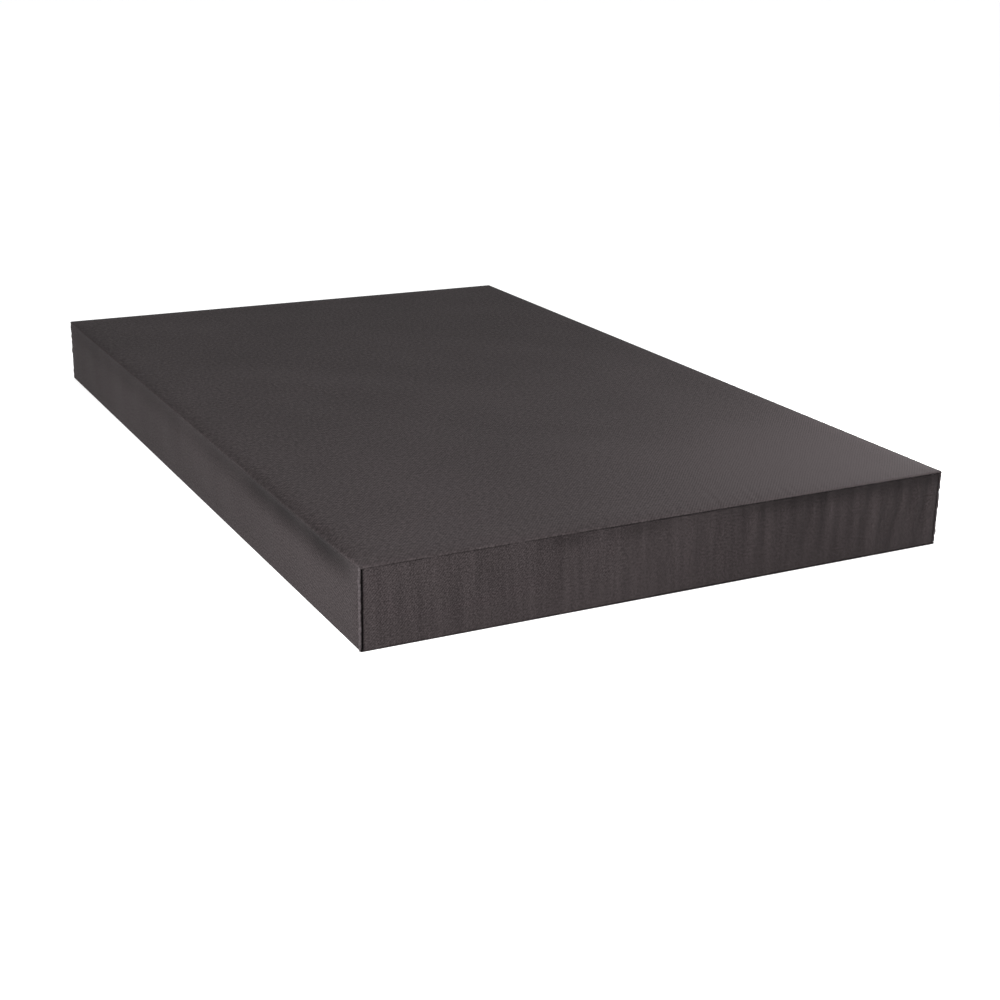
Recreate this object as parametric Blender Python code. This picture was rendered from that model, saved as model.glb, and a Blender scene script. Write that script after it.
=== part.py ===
"""Futon mattress with a zip-off twill cover, folding along its middle for sofa use.

Metres, +Z up. The origin is under the middle of the mattress, on the surface it lies on. +X runs across the
mattress, from the seat half to the back half, and +Y runs along it. Every layer is split at the fold line, and
the back half turns about the crease in the top face. The zip is in the middle of the +X side.
"""

from math import cos, pi, sin

import bmesh
import bpy
from mathutils import Vector

# Overall size
WIDTH = 1.200
LENGTH = 1.900
THICKNESS = 0.150
EDGE_RADIUS = 0.015  # roll of the top and bottom edges
ARC_STEPS = 5  # flats in that roll

# Layers, from the outside in
COVER_CLOTH = 0.0010
CASING_CLOTH = 0.0008
EDGE_BATTING = 0.022
COTTON = 0.025
GAP = 0.0003  # between pieces that touch
FOLD_GAP = 0.0006  # between the two halves, at the fold line

# Corner seams: the two borders meet in a pinched ridge
CORNER_LEG = 0.008
CORNER_CHAMFER = 0.003
CORNER_CUT = 0.004  # off the corners of the casing and the filling
RIDGE = 0.0006  # half the ridge's thickness
SQRT2 = 2**0.5

# Zip, measured from the outer face of its tape, which lies in a valley along the +X side
ZIP_DEPTH = 0.012
ZIP_HALF = 0.850
TAPE_CLOTH = 0.0006
TAPE_WIDTH = 0.014
TAPE_OVERRUN = 0.020
COIL_PART = 0.0006  # from the middle to the edge of each coil
COIL_WIDTH = 0.0022
COIL_HEIGHT = 0.0016
STOP_LENGTH = 0.004
FLAP_SET_BACK = 0.0015  # of the zip borders behind the other borders
FLAP_EDGE = 0.0045  # from the zip's middle to the folded edge of each border
FLAP_BEND = 0.025
CASING_FLOOR = 0.0030  # of the casing's valley behind the tape
CASING_FLOOR_HALF = 0.0152
CASING_BEND = 0.030

# Slider and pull tab
SLIDER_Y = 0.840
SLIDER_HALF = 0.0055
SLIDER_WIDTH = 0.0080
PLATE = 0.0010
PLATE_FACE = 0.0022  # underside of the outer plate
FLANGE = 0.0008
FLANGE_REACH = 0.0005
POST = 0.0003  # half the post's thickness
POST_START = 0.0020
CROWN_HALF = 0.0034
CROWN_LEG = 0.0010
CROWN_WIDTH = 0.0016
CROWN_UNDER = 0.0054
CROWN_TOP = 0.0066
PULL_AXIS = 0.0043
PULL_PLATE = 0.0010
PULL_WIDTH = 0.0060
PULL_LENGTH = 0.028
EYE_WIDTH = 0.0034
EYE_LENGTH = 0.0070

# Care label, sewn blank on the lower zip border
LABEL_CLOTH = 0.0004
LABEL_WIDTH = 0.055
LABEL_HEIGHT = 0.030
LABEL_Y = -0.550

HALF_X = WIDTH / 2
HALF_Y = LENGTH / 2
MIDDLE = THICKNESS / 2
CASING_INSET = COVER_CLOTH + GAP
PAD_INSET = CASING_INSET + CASING_CLOTH + GAP
CORE_INSET = PAD_INSET + EDGE_BATTING + GAP
LOW = EDGE_RADIUS + GAP  # foot of every border
HIGH = THICKNESS - LOW
BORDER_END = HALF_Y - CORNER_LEG - GAP  # of every border along the sides
ZIP_FACE = HALF_X - ZIP_DEPTH
FLAP_FACE = HALF_X - FLAP_SET_BACK

FOLD_AXIS = Vector((0, 0, THICKNESS))
SLIDER_AT = Vector((ZIP_FACE, SLIDER_Y, MIDDLE))
PULL_HINGE = Vector((ZIP_FACE + PULL_AXIS, SLIDER_Y, MIDDLE))

FINISHES = {  # name: colour, roughness, metallic
    "cover_twill": ((0.064, 0.056, 0.055), 0.85, 0.0),
    "seam_thread": ((0.050, 0.045, 0.045), 0.80, 0.0),
    "zip_tape_cloth": ((0.030, 0.028, 0.028), 0.90, 0.0),
    "zip_coil_nylon": ((0.022, 0.021, 0.021), 0.45, 0.0),
    "zip_metal": ((0.060, 0.058, 0.057), 0.35, 0.9),
    "label_satin": ((0.780, 0.770, 0.740), 0.55, 0.0),
    "casing_knit": ((0.720, 0.700, 0.650), 0.90, 0.0),
    "edge_fibre": ((0.820, 0.820, 0.800), 0.95, 0.0),
    "pad_fibre": ((0.860, 0.860, 0.840), 0.95, 0.0),
    "cotton_felt": ((0.660, 0.610, 0.510), 0.95, 0.0),
    "foam": ((0.780, 0.720, 0.480), 0.90, 0.0),
}


def clear_scene():
    for thing in list(bpy.data.objects):
        bpy.data.objects.remove(thing)


def make_materials():
    materials = {}
    for name, (colour, roughness, metallic) in FINISHES.items():
        material = bpy.data.materials.new(name)
        material.use_nodes = True
        shader = material.node_tree.nodes["Principled BSDF"]
        shader.inputs["Base Color"].default_value = (*colour, 1)
        shader.inputs["Roughness"].default_value = roughness
        shader.inputs["Metallic"].default_value = metallic
        materials[name] = material
    return materials


def make_pivot(name, place, parent=None):
    """An empty on a joint's axis, which the pieces that turn or slide there hang from."""
    pivot = bpy.data.objects.new(name, None)
    pivot.parent = parent
    pivot.location = place - Vector(parent["place"] if parent else (0, 0, 0))
    pivot["place"] = place
    bpy.context.scene.collection.objects.link(pivot)
    return pivot


def add_piece(name, shape, finish, pivot=None):
    """An object from a bmesh in the mattress's own frame. Its origin goes on its pivot."""
    origin = Vector(pivot["place"] if pivot else (0, 0, 0))
    bmesh.ops.translate(shape, verts=shape.verts, vec=-origin)
    bmesh.ops.recalc_face_normals(shape, faces=shape.faces)
    mesh = bpy.data.meshes.new(name)
    shape.to_mesh(mesh)
    shape.free()
    mesh.materials.append(MATERIALS[finish])
    piece = bpy.data.objects.new(name, mesh)
    piece.parent = pivot
    bpy.context.scene.collection.objects.link(piece)
    return piece


def as_helper(piece):
    piece.hide_render = True
    piece.display_type = "WIRE"
    return piece


def loft(rings):
    """A closed body through rings of points, with a flat face on the first ring and on the last."""
    shape = bmesh.new()
    made = [[shape.verts.new(point) for point in ring] for ring in rings]
    for lower, upper in zip(made, made[1:]):
        for i in range(len(lower)):
            j = (i + 1) % len(lower)
            shape.faces.new((lower[i], lower[j], upper[j], upper[i]))
    shape.faces.new(made[0])
    shape.faces.new(made[-1])
    return shape


def block(low, high):
    """A plain block between two opposite corners."""
    plan = ((low[0], low[1]), (high[0], low[1]), (high[0], high[1]), (low[0], high[1]))
    return loft([[(x, y, z) for x, y in plan] for z in (low[2], high[2])])


def prism(outline, start, end, along):
    """An outline carried along an axis: XZ points along "Y", XY points along "Z", YZ points along "X"."""
    place = {
        "X": lambda a, b, s: (s, a, b),
        "Y": lambda a, b, s: (a, s, b),
        "Z": lambda a, b, s: (a, b, s),
    }[along]
    return loft([[place(a, b, s) for a, b in outline] for s in (start, end)])


def plan_ring(inset, z):
    """The mattress's outline at a height, drawn in from its sides."""
    x = HALF_X - inset
    y = HALF_Y - inset
    return [(-x, -y, z), (x, -y, z), (x, y, z), (-x, y, z)]


def edge_rings(depth, side):
    """Rings round the rolled edge of the top (side 1) or bottom (side -1), at a depth behind the outer face."""
    radius = EDGE_RADIUS - depth
    rings = []
    for step in range(ARC_STEPS + 1):
        angle = pi / 2 * step / ARC_STEPS
        height = MIDDLE - EDGE_RADIUS + radius * sin(angle)
        rings.append(plan_ring(EDGE_RADIUS - radius * cos(angle), MIDDLE + side * height))
    return rings


def cloth_lid(depth, cloth, side):
    """A top or bottom panel of cloth, rolled down at its edges to where the borders are sewn on."""
    return loft(edge_rings(depth + cloth, side)[::-1] + edge_rings(depth, side))


def fibre_lid(side):
    return loft(edge_rings(PAD_INSET, side))


def slab(inset, low, high):
    return loft([plan_ring(inset, low), plan_ring(inset, high)])


def halve(shape, side):
    """Cuts the body at the fold line, keeps the seat (side -1) or the back (side 1), and closes the cut."""
    cut = bmesh.ops.bisect_plane(
        shape,
        geom=shape.verts[:] + shape.edges[:] + shape.faces[:],
        plane_co=(side * FOLD_GAP / 2, 0, 0),
        plane_no=(side, 0, 0),
        clear_inner=True,
    )
    edges = [part for part in cut["geom_cut"] if isinstance(part, bmesh.types.BMEdge)]
    bmesh.ops.holes_fill(shape, edges=edges, sides=0)
    return shape


def thick_line(points, cloth):
    """The outline of a cloth strip: its outer face as XZ points, and the same line set back by the cloth."""
    return points + [(x - cloth, z) for x, z in reversed(points)]


def add_halves(name, finish, make_shape):
    """The same layer as two pieces, one on each side of the fold line."""
    for part, side, pivot in (("seat", -1, None), ("back", 1, BACK)):
        add_piece(f"{name}_{part}", halve(make_shape(), side), finish, pivot)


def add_end_pieces(name, finish, outline):
    """The pieces across both ends of the mattress, from the plan of the one at the rear."""
    for place, side in (("front", -1), ("rear", 1)):
        plan = [(x, side * y) for x, y in outline]
        add_halves(f"{name}_{place}", finish, lambda: prism(plan, LOW, HIGH, "Z"))


def add_left_strip(name, finish, depth, thickness, end_y):
    low = (depth - HALF_X, -end_y, LOW)
    high = (depth + thickness - HALF_X, end_y, HIGH)
    add_piece(name, block(low, high), finish)


def cut_corner(side, inset, cut):
    """Plan of a rear corner cut off at 45 degrees, from the long side to the end."""
    x = side * (HALF_X - inset)
    y = HALF_Y - inset
    return [(x, y - cut), (x - side * cut, y)]


def casing_end():
    """Plan of the casing's rear border, which turns both corners."""
    foot = HALF_Y - CORNER_LEG
    outline = []
    for inset, cut in (
        (CASING_INSET, CORNER_CUT),
        (CASING_INSET + CASING_CLOTH, CORNER_CUT - (2 - SQRT2) * CASING_CLOTH),
    ):
        side = HALF_X - inset
        left = [(-side, foot)] + cut_corner(-1, inset, cut)
        right = cut_corner(1, inset, cut)[::-1] + [(side, foot)]
        outline += (left + right)[:: -1 if outline else 1]
    return outline


def casing_valley():
    """Outer face of the casing's +X border, top to bottom, with room in the middle for the zip."""
    face = FLAP_FACE - COVER_CLOTH - GAP
    floor = ZIP_FACE - CASING_FLOOR
    upper = [(face, HIGH), (face, MIDDLE + CASING_BEND), (floor, MIDDLE + CASING_FLOOR_HALF)]
    return upper + [(x, THICKNESS - z) for x, z in reversed(upper)]


def add_cover():
    for name, side in (("top", 1), ("bottom", -1)):
        add_halves(f"cover_{name}", "cover_twill", lambda: cloth_lid(0, COVER_CLOTH, side))
    add_left_strip("border_left", "cover_twill", 0, COVER_CLOTH, BORDER_END)
    end = HALF_X - CORNER_LEG - GAP
    inner = HALF_Y - COVER_CLOTH
    add_end_pieces("border", "cover_twill", [(-end, inner), (end, inner), (end, HALF_Y), (-end, HALF_Y)])
    flap = [
        (FLAP_FACE, HIGH),
        (FLAP_FACE, MIDDLE + FLAP_BEND),
        (ZIP_FACE + GAP + COVER_CLOTH, MIDDLE + FLAP_EDGE),
    ]
    lower = [(x, THICKNESS - z) for x, z in flap]
    for name, line in (("upper", flap), ("lower", lower)):
        outline = thick_line(line, COVER_CLOTH)
        add_piece(f"zip_border_{name}", prism(outline, -BORDER_END, BORDER_END, "Y"), "cover_twill", BACK)


def corner_outline(side_x, side_y):
    """Plan of a corner seam: two legs of cloth, a chamfer, and the pinched ridge that reaches the corner."""
    one_leg = [
        (CORNER_LEG, COVER_CLOTH),
        (CORNER_LEG, 0),
        (CORNER_CHAMFER, 0),
        (CORNER_CHAMFER / 2 + RIDGE, CORNER_CHAMFER / 2 - RIDGE),
        (2 * RIDGE, 0),
    ]
    other_leg = [(b, a) for a, b in reversed(one_leg)]
    inside = [(CORNER_CHAMFER + COVER_CLOTH, COVER_CLOTH), (COVER_CLOTH, CORNER_CHAMFER + COVER_CLOTH)]
    outline = one_leg + [(0, 0)] + other_leg + inside[::-1]
    return [(side_x * (HALF_X - a), side_y * (HALF_Y - b)) for a, b in outline]


def add_corner_seams():
    for place_y, side_y in (("front", -1), ("rear", 1)):
        for place_x, side_x, pivot in (("left", -1, None), ("right", 1, BACK)):
            shape = prism(corner_outline(side_x, side_y), LOW, HIGH, "Z")
            add_piece(f"corner_seam_{place_y}_{place_x}", shape, "seam_thread", pivot)


def add_casing():
    for name, side in (("top", 1), ("bottom", -1)):
        add_halves(f"casing_{name}", "casing_knit", lambda: cloth_lid(CASING_INSET, CASING_CLOTH, side))
    add_left_strip("casing_border_left", "casing_knit", CASING_INSET, CASING_CLOTH, BORDER_END)
    right = prism(thick_line(casing_valley(), CASING_CLOTH), -BORDER_END, BORDER_END, "Y")
    add_piece("casing_border_right", right, "casing_knit", BACK)
    add_end_pieces("casing_border", "casing_knit", casing_end())


def add_edge_batting():
    end = HALF_Y - CORE_INSET
    add_left_strip("edge_batting_left", "edge_fibre", PAD_INSET, EDGE_BATTING, end)
    face = [(x - CASING_CLOTH - GAP, z) for x, z in casing_valley()]
    inner = HALF_X - PAD_INSET - EDGE_BATTING
    right = prism(face + [(inner, LOW), (inner, HIGH)], -end, end, "Y")
    add_piece("edge_batting_right", right, "edge_fibre", BACK)
    far = min(x for x, _ in face)
    back = HALF_Y - PAD_INSET - EDGE_BATTING
    left = [(PAD_INSET - HALF_X, back)] + cut_corner(-1, PAD_INSET, CORNER_CUT)
    add_end_pieces("edge_batting", "edge_fibre", left + [(far, HALF_Y - PAD_INSET), (far, back)])


def add_filling():
    for name, side in (("top", 1), ("bottom", -1)):
        add_halves(f"fibre_pad_{name}", "pad_fibre", lambda: fibre_lid(side))
    layers = (
        ("cotton_batt_bottom", "cotton_felt", LOW, LOW + COTTON),
        ("foam_core", "foam", LOW + COTTON + GAP, HIGH - COTTON - GAP),
        ("cotton_batt_top", "cotton_felt", HIGH - COTTON, HIGH),
    )
    for name, finish, low, high in layers:
        add_halves(name, finish, lambda: slab(CORE_INSET, low, high))


def add_zip_chain():
    tape_end = ZIP_HALF + TAPE_OVERRUN
    for name, side in (("upper", 1), ("lower", -1)):
        edge, far = COIL_PART, COIL_PART + TAPE_WIDTH
        z = sorted((MIDDLE + side * edge, MIDDLE + side * far))
        tape = block((ZIP_FACE - TAPE_CLOTH, -tape_end, z[0]), (ZIP_FACE, tape_end, z[1]))
        add_piece(f"zip_tape_{name}", tape, "zip_tape_cloth", BACK)
        z = sorted((MIDDLE + side * edge, MIDDLE + side * (edge + COIL_WIDTH)))
        face = ZIP_FACE + GAP
        coil = block((face, -ZIP_HALF, z[0]), (face + COIL_HEIGHT, ZIP_HALF, z[1]))
        add_piece(f"zip_coil_{name}", coil, "zip_coil_nylon", BACK)
    reach = COIL_PART + COIL_WIDTH
    for name, side in (("closed", 1), ("open", -1)):
        y = sorted((side * (ZIP_HALF + GAP), side * (ZIP_HALF + GAP + STOP_LENGTH)))
        low = (ZIP_FACE + GAP, y[0], MIDDLE - reach)
        high = (ZIP_FACE + GAP + COIL_HEIGHT, y[1], MIDDLE + reach)
        add_piece(f"zip_stop_{name}", block(low, high), "zip_metal", BACK)


def add_slider():
    """Two plates joined by a post that parts the coils, with rims round the coils and an arch for the pull."""
    half = SLIDER_WIDTH / 2
    under = -TAPE_CLOTH - GAP
    crown = CROWN_WIDTH / 2
    leg = CROWN_HALF - CROWN_LEG
    boxes = {
        "post": ((under - PLATE, POST_START, -POST), (PLATE_FACE + PLATE, SLIDER_HALF, POST)),
        "inner_plate": ((under - PLATE, -SLIDER_HALF, -half), (under, SLIDER_HALF, half)),
        "upper_rim": ((FLANGE_REACH, -SLIDER_HALF, half - FLANGE), (PLATE_FACE + PLATE, SLIDER_HALF, half)),
        "lower_rim": ((FLANGE_REACH, -SLIDER_HALF, -half), (PLATE_FACE + PLATE, SLIDER_HALF, FLANGE - half)),
        "front_leg": ((PLATE_FACE, -CROWN_HALF, -crown), (CROWN_TOP, -leg, crown)),
        "rear_leg": ((PLATE_FACE, leg, -crown), (CROWN_TOP, CROWN_HALF, crown)),
        "arch": ((CROWN_UNDER, -CROWN_HALF, -crown), (CROWN_TOP, CROWN_HALF, crown)),
    }
    plate = block(
        SLIDER_AT + Vector((PLATE_FACE, -SLIDER_HALF, -half)),
        SLIDER_AT + Vector((PLATE_FACE + PLATE, SLIDER_HALF, half)),
    )
    slider = add_piece("zip_slider", plate, "zip_metal", SLIDER)
    for name, (low, high) in boxes.items():
        shape = block(SLIDER_AT + Vector(low), SLIDER_AT + Vector(high))
        helper = as_helper(add_piece(f"slider_{name}", shape, "zip_metal", SLIDER))
        union = slider.modifiers.new(name, "BOOLEAN")
        union.operation = "UNION"
        union.object = helper


def add_pull():
    """A flat tab with a round end, and an eye whose cross bar turns under the slider's arch."""
    half = PULL_WIDTH / 2
    bar = PULL_PLATE / 2
    tip = -PULL_LENGTH + half
    turns = [pi + pi * step / 10 for step in range(11)]
    outline = [(half, bar), (-half, bar)] + [(half * cos(a), tip + half * sin(a)) for a in turns]
    outline = [(SLIDER_Y + y, MIDDLE + z) for z, y in outline]
    x = PULL_HINGE.x
    pull = add_piece("zip_pull", prism(outline, x - bar, x + bar, "X"), "zip_metal", PULL)
    eye = EYE_WIDTH / 2
    low = PULL_HINGE + Vector((-PULL_PLATE, -EYE_LENGTH, -eye))
    high = PULL_HINGE + Vector((PULL_PLATE, -bar, eye))
    cut = pull.modifiers.new("eye", "BOOLEAN")
    cut.operation = "DIFFERENCE"
    cut.object = as_helper(add_piece("pull_eye", block(low, high), "zip_metal", PULL))


def add_label():
    low = (FLAP_FACE + GAP, LABEL_Y - LABEL_WIDTH / 2, LOW)
    high = (FLAP_FACE + GAP + LABEL_CLOTH, LABEL_Y + LABEL_WIDTH / 2, LOW + LABEL_HEIGHT)
    add_piece("care_label", block(low, high), "label_satin", BACK)


clear_scene()
MATERIALS = make_materials()
BACK = make_pivot("fold_axis", FOLD_AXIS)
SLIDER = make_pivot("slider_track", SLIDER_AT, BACK)
PULL = make_pivot("pull_hinge", PULL_HINGE, SLIDER)
add_cover()
add_corner_seams()
add_casing()
add_edge_batting()
add_filling()
add_zip_chain()
add_slider()
add_pull()
add_label()
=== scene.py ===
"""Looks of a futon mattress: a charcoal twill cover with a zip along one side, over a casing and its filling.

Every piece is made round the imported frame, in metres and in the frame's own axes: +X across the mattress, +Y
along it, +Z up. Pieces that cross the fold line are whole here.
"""

from __future__ import annotations

import logging
from dataclasses import dataclass, field
from enum import Enum
from typing import Callable, Iterable, Sequence, Union

import bpy
import numpy as np
from mathutils import Matrix, Vector

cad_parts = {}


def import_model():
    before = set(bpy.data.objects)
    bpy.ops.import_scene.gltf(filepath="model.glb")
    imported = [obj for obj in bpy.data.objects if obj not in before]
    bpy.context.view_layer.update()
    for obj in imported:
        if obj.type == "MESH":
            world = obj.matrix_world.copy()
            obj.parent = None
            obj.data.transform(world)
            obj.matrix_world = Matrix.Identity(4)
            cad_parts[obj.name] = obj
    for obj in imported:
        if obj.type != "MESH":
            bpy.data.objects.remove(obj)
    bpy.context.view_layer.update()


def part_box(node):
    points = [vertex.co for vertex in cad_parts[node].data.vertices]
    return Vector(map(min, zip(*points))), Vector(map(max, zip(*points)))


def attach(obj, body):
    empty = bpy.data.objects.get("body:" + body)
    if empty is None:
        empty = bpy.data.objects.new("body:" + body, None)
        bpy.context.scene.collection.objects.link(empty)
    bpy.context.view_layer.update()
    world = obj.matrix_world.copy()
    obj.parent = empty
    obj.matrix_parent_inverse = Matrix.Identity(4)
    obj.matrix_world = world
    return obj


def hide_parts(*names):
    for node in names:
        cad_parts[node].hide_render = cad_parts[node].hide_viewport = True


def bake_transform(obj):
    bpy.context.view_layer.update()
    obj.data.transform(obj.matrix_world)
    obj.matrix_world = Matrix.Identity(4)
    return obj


LOG = logging.getLogger("futon")

Array = np.ndarray
Colour = tuple[float, float, float]

MM = 0.001
WEAVE_UV = "weave"
# Name of the point attribute that carries painted light: painted shade in seams, grooves and creases above 0,
# a painted highlight below 0.
PAINTED_SHADE_AND_HIGHLIGHT = "fold"


class Body(Enum):
    """The bodies of the frame that pieces ride on."""

    SEAT = "seat_half"
    BACK = "back_half"
    SLIDER = "zip_slider"
    PULL = "zip_pull"


class Trim(Enum):
    """Looks of the borders' twill, which share the cover's slot."""

    BORDER = "border_twill"
    PLAIN = "side_twill"


class Slot(Enum):
    """The record's material slots."""

    TWILL = "cover_twill"
    SEAM = "seam_thread"
    TAPE = "zip_tape_cloth"
    COIL = "zip_coil_nylon"
    METAL = "zip_metal"
    LABEL = "label_satin"
    KNIT = "casing_knit"
    EDGE = "edge_fibre"
    PAD = "pad_fibre"
    COTTON = "cotton_felt"
    FOAM = "foam"


# --------------------------------------------------------------------------------------------------
# Shader maths
# --------------------------------------------------------------------------------------------------


class Shade:
    """One output socket of a node, which adds Math nodes when it is used in an expression."""

    def __init__(self, graph: "Graph", socket: bpy.types.NodeSocket) -> None:
        """Args:
        graph: the node tree that the socket belongs to.
        socket: the output socket.
        """
        self.graph = graph
        self.socket = socket

    def maths(self, operation: str, *values: "Number") -> "Shade":
        """Args:
            operation: a Math node's operation.
            values: its inputs, in order.

        Returns:
            The node's result.
        """
        return self.graph.node("Math", {"operation": operation}, dict(enumerate(values)))

    def __add__(self, other: "Number") -> "Shade":
        """self + other."""
        return self.maths("ADD", self, other)

    __radd__ = __add__

    def __mul__(self, other: "Number") -> "Shade":
        """self * other."""
        return self.maths("MULTIPLY", self, other)

    __rmul__ = __mul__

    def __sub__(self, other: "Number") -> "Shade":
        """self - other."""
        return self.maths("SUBTRACT", self, other)

    def __rsub__(self, other: "Number") -> "Shade":
        """other - self."""
        return self.maths("SUBTRACT", other, self)

    def __truediv__(self, other: "Number") -> "Shade":
        """self / other."""
        return self.maths("DIVIDE", self, other)

    def wave(self) -> "Shade":
        """The sine of self turns, moved to run from 0 to 1."""
        return self.maths("SINE", self * (2 * np.pi)) * 0.5 + 0.5

    def ramp(self, start: float, end: float) -> "Shade":
        """0 where self is at start, 1 where it is at end, smooth between and flat past them."""
        settings = {"interpolation_type": "SMOOTHSTEP"}
        return self.graph.node("MapRange", settings, {"Value": self, "From Min": start, "From Max": end})


Number = Union[Shade, float]


class Graph:
    """The nodes of one material, with a Principled shader at its end."""

    def __init__(self, name: str) -> None:
        """Makes the material and empties it down to its output and shader.

        Args:
            name: the material's name.
        """
        self.material = bpy.data.materials.new(name)
        self.material.use_nodes = True
        self.tree = self.material.node_tree
        self.tree.nodes.clear()
        output = self.tree.nodes.new("ShaderNodeOutputMaterial")
        self.shader = self.tree.nodes.new("ShaderNodeBsdfPrincipled")
        self.tree.links.new(self.shader.outputs[0], output.inputs[0])

    def node(
        self,
        kind: str,
        settings: dict[str, object] | None = None,
        inputs: dict[str | int, object] | None = None,
        out: str | int = 0,
    ) -> Shade:
        """Adds a node. Its settings are set first, because they decide which sockets it has.

        Args:
            kind: the node's type, without "ShaderNode" or, for a texture, with "Tex" in front.
            settings: the node's own properties.
            inputs: values or Shades by socket name or number.
            out: the output that is wanted.

        Returns:
            That output.
        """
        node = self.tree.nodes.new("ShaderNode" + kind)
        for key, value in (settings or {}).items():
            setattr(node, key, value)
        for key, value in (inputs or {}).items():
            if isinstance(value, Shade):
                self.tree.links.new(value.socket, node.inputs[key])
            else:
                node.inputs[key].default_value = value
        return Shade(self, node.outputs[out])

    def mix(self, share: Number, first: object, second: object) -> Shade:
        """A colour between two colours, in linear light.

        Args:
            share: 0 for the first, 1 for the second.
            first: a colour with alpha, or a Shade.
            second: a colour with alpha, or a Shade.

        Returns:
            The mixed colour.
        """
        settings = {"data_type": "RGBA", "clamp_factor": True}
        return self.node("Mix", settings, {0: share, 6: first, 7: second}, 2)

    def weave_axes(self) -> tuple[Shade, Shade, Shade]:
        """The cloth's own coordinates in metres, as a vector and as its two parts."""
        vector = self.node("UVMap", {"uv_map": WEAVE_UV})
        parts = self.node("SeparateXYZ", None, {0: vector})
        return vector, parts, Shade(self, parts.socket.node.outputs[1])

    def noise(self, vector: Shade, size: float, detail: float = 2.0, rough: float = 0.5) -> Shade:
        """Smooth noise from 0 to 1.

        Args:
            vector: where it is read.
            size: the width of its largest blots, in metres.
            detail: how many finer layers are added.
            rough: how strong those are.

        Returns:
            The noise.
        """
        inputs = {"Vector": vector, "Scale": 1 / size, "Detail": detail, "Roughness": rough}
        return self.node("TexNoise", None, inputs)

    def bump(self, height: Shade, distance: float, strength: float = 1.0) -> Shade:
        """A normal from a height of 0 to 1.

        Args:
            height: the height.
            distance: what a height of 1 stands for, in metres.
            strength: how much of it shows.

        Returns:
            The normal.
        """
        inputs = {"Height": height, "Distance": distance, "Strength": strength}
        return self.node("Bump", None, inputs)

    def finish(self, **sockets: object) -> bpy.types.Material:
        """Sets or links the shader's sockets.

        Args:
            sockets: values or Shades by socket name, with _ for a space.

        Returns:
            The material.
        """
        for name, value in sockets.items():
            socket = self.shader.inputs[name.replace("_", " ")]
            if isinstance(value, Shade):
                self.tree.links.new(value.socket, socket)
            else:
                socket.default_value = value
        return self.material


def opaque(colour: Colour) -> tuple[float, float, float, float]:
    """The colour with full alpha."""
    return (*colour, 1.0)


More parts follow.
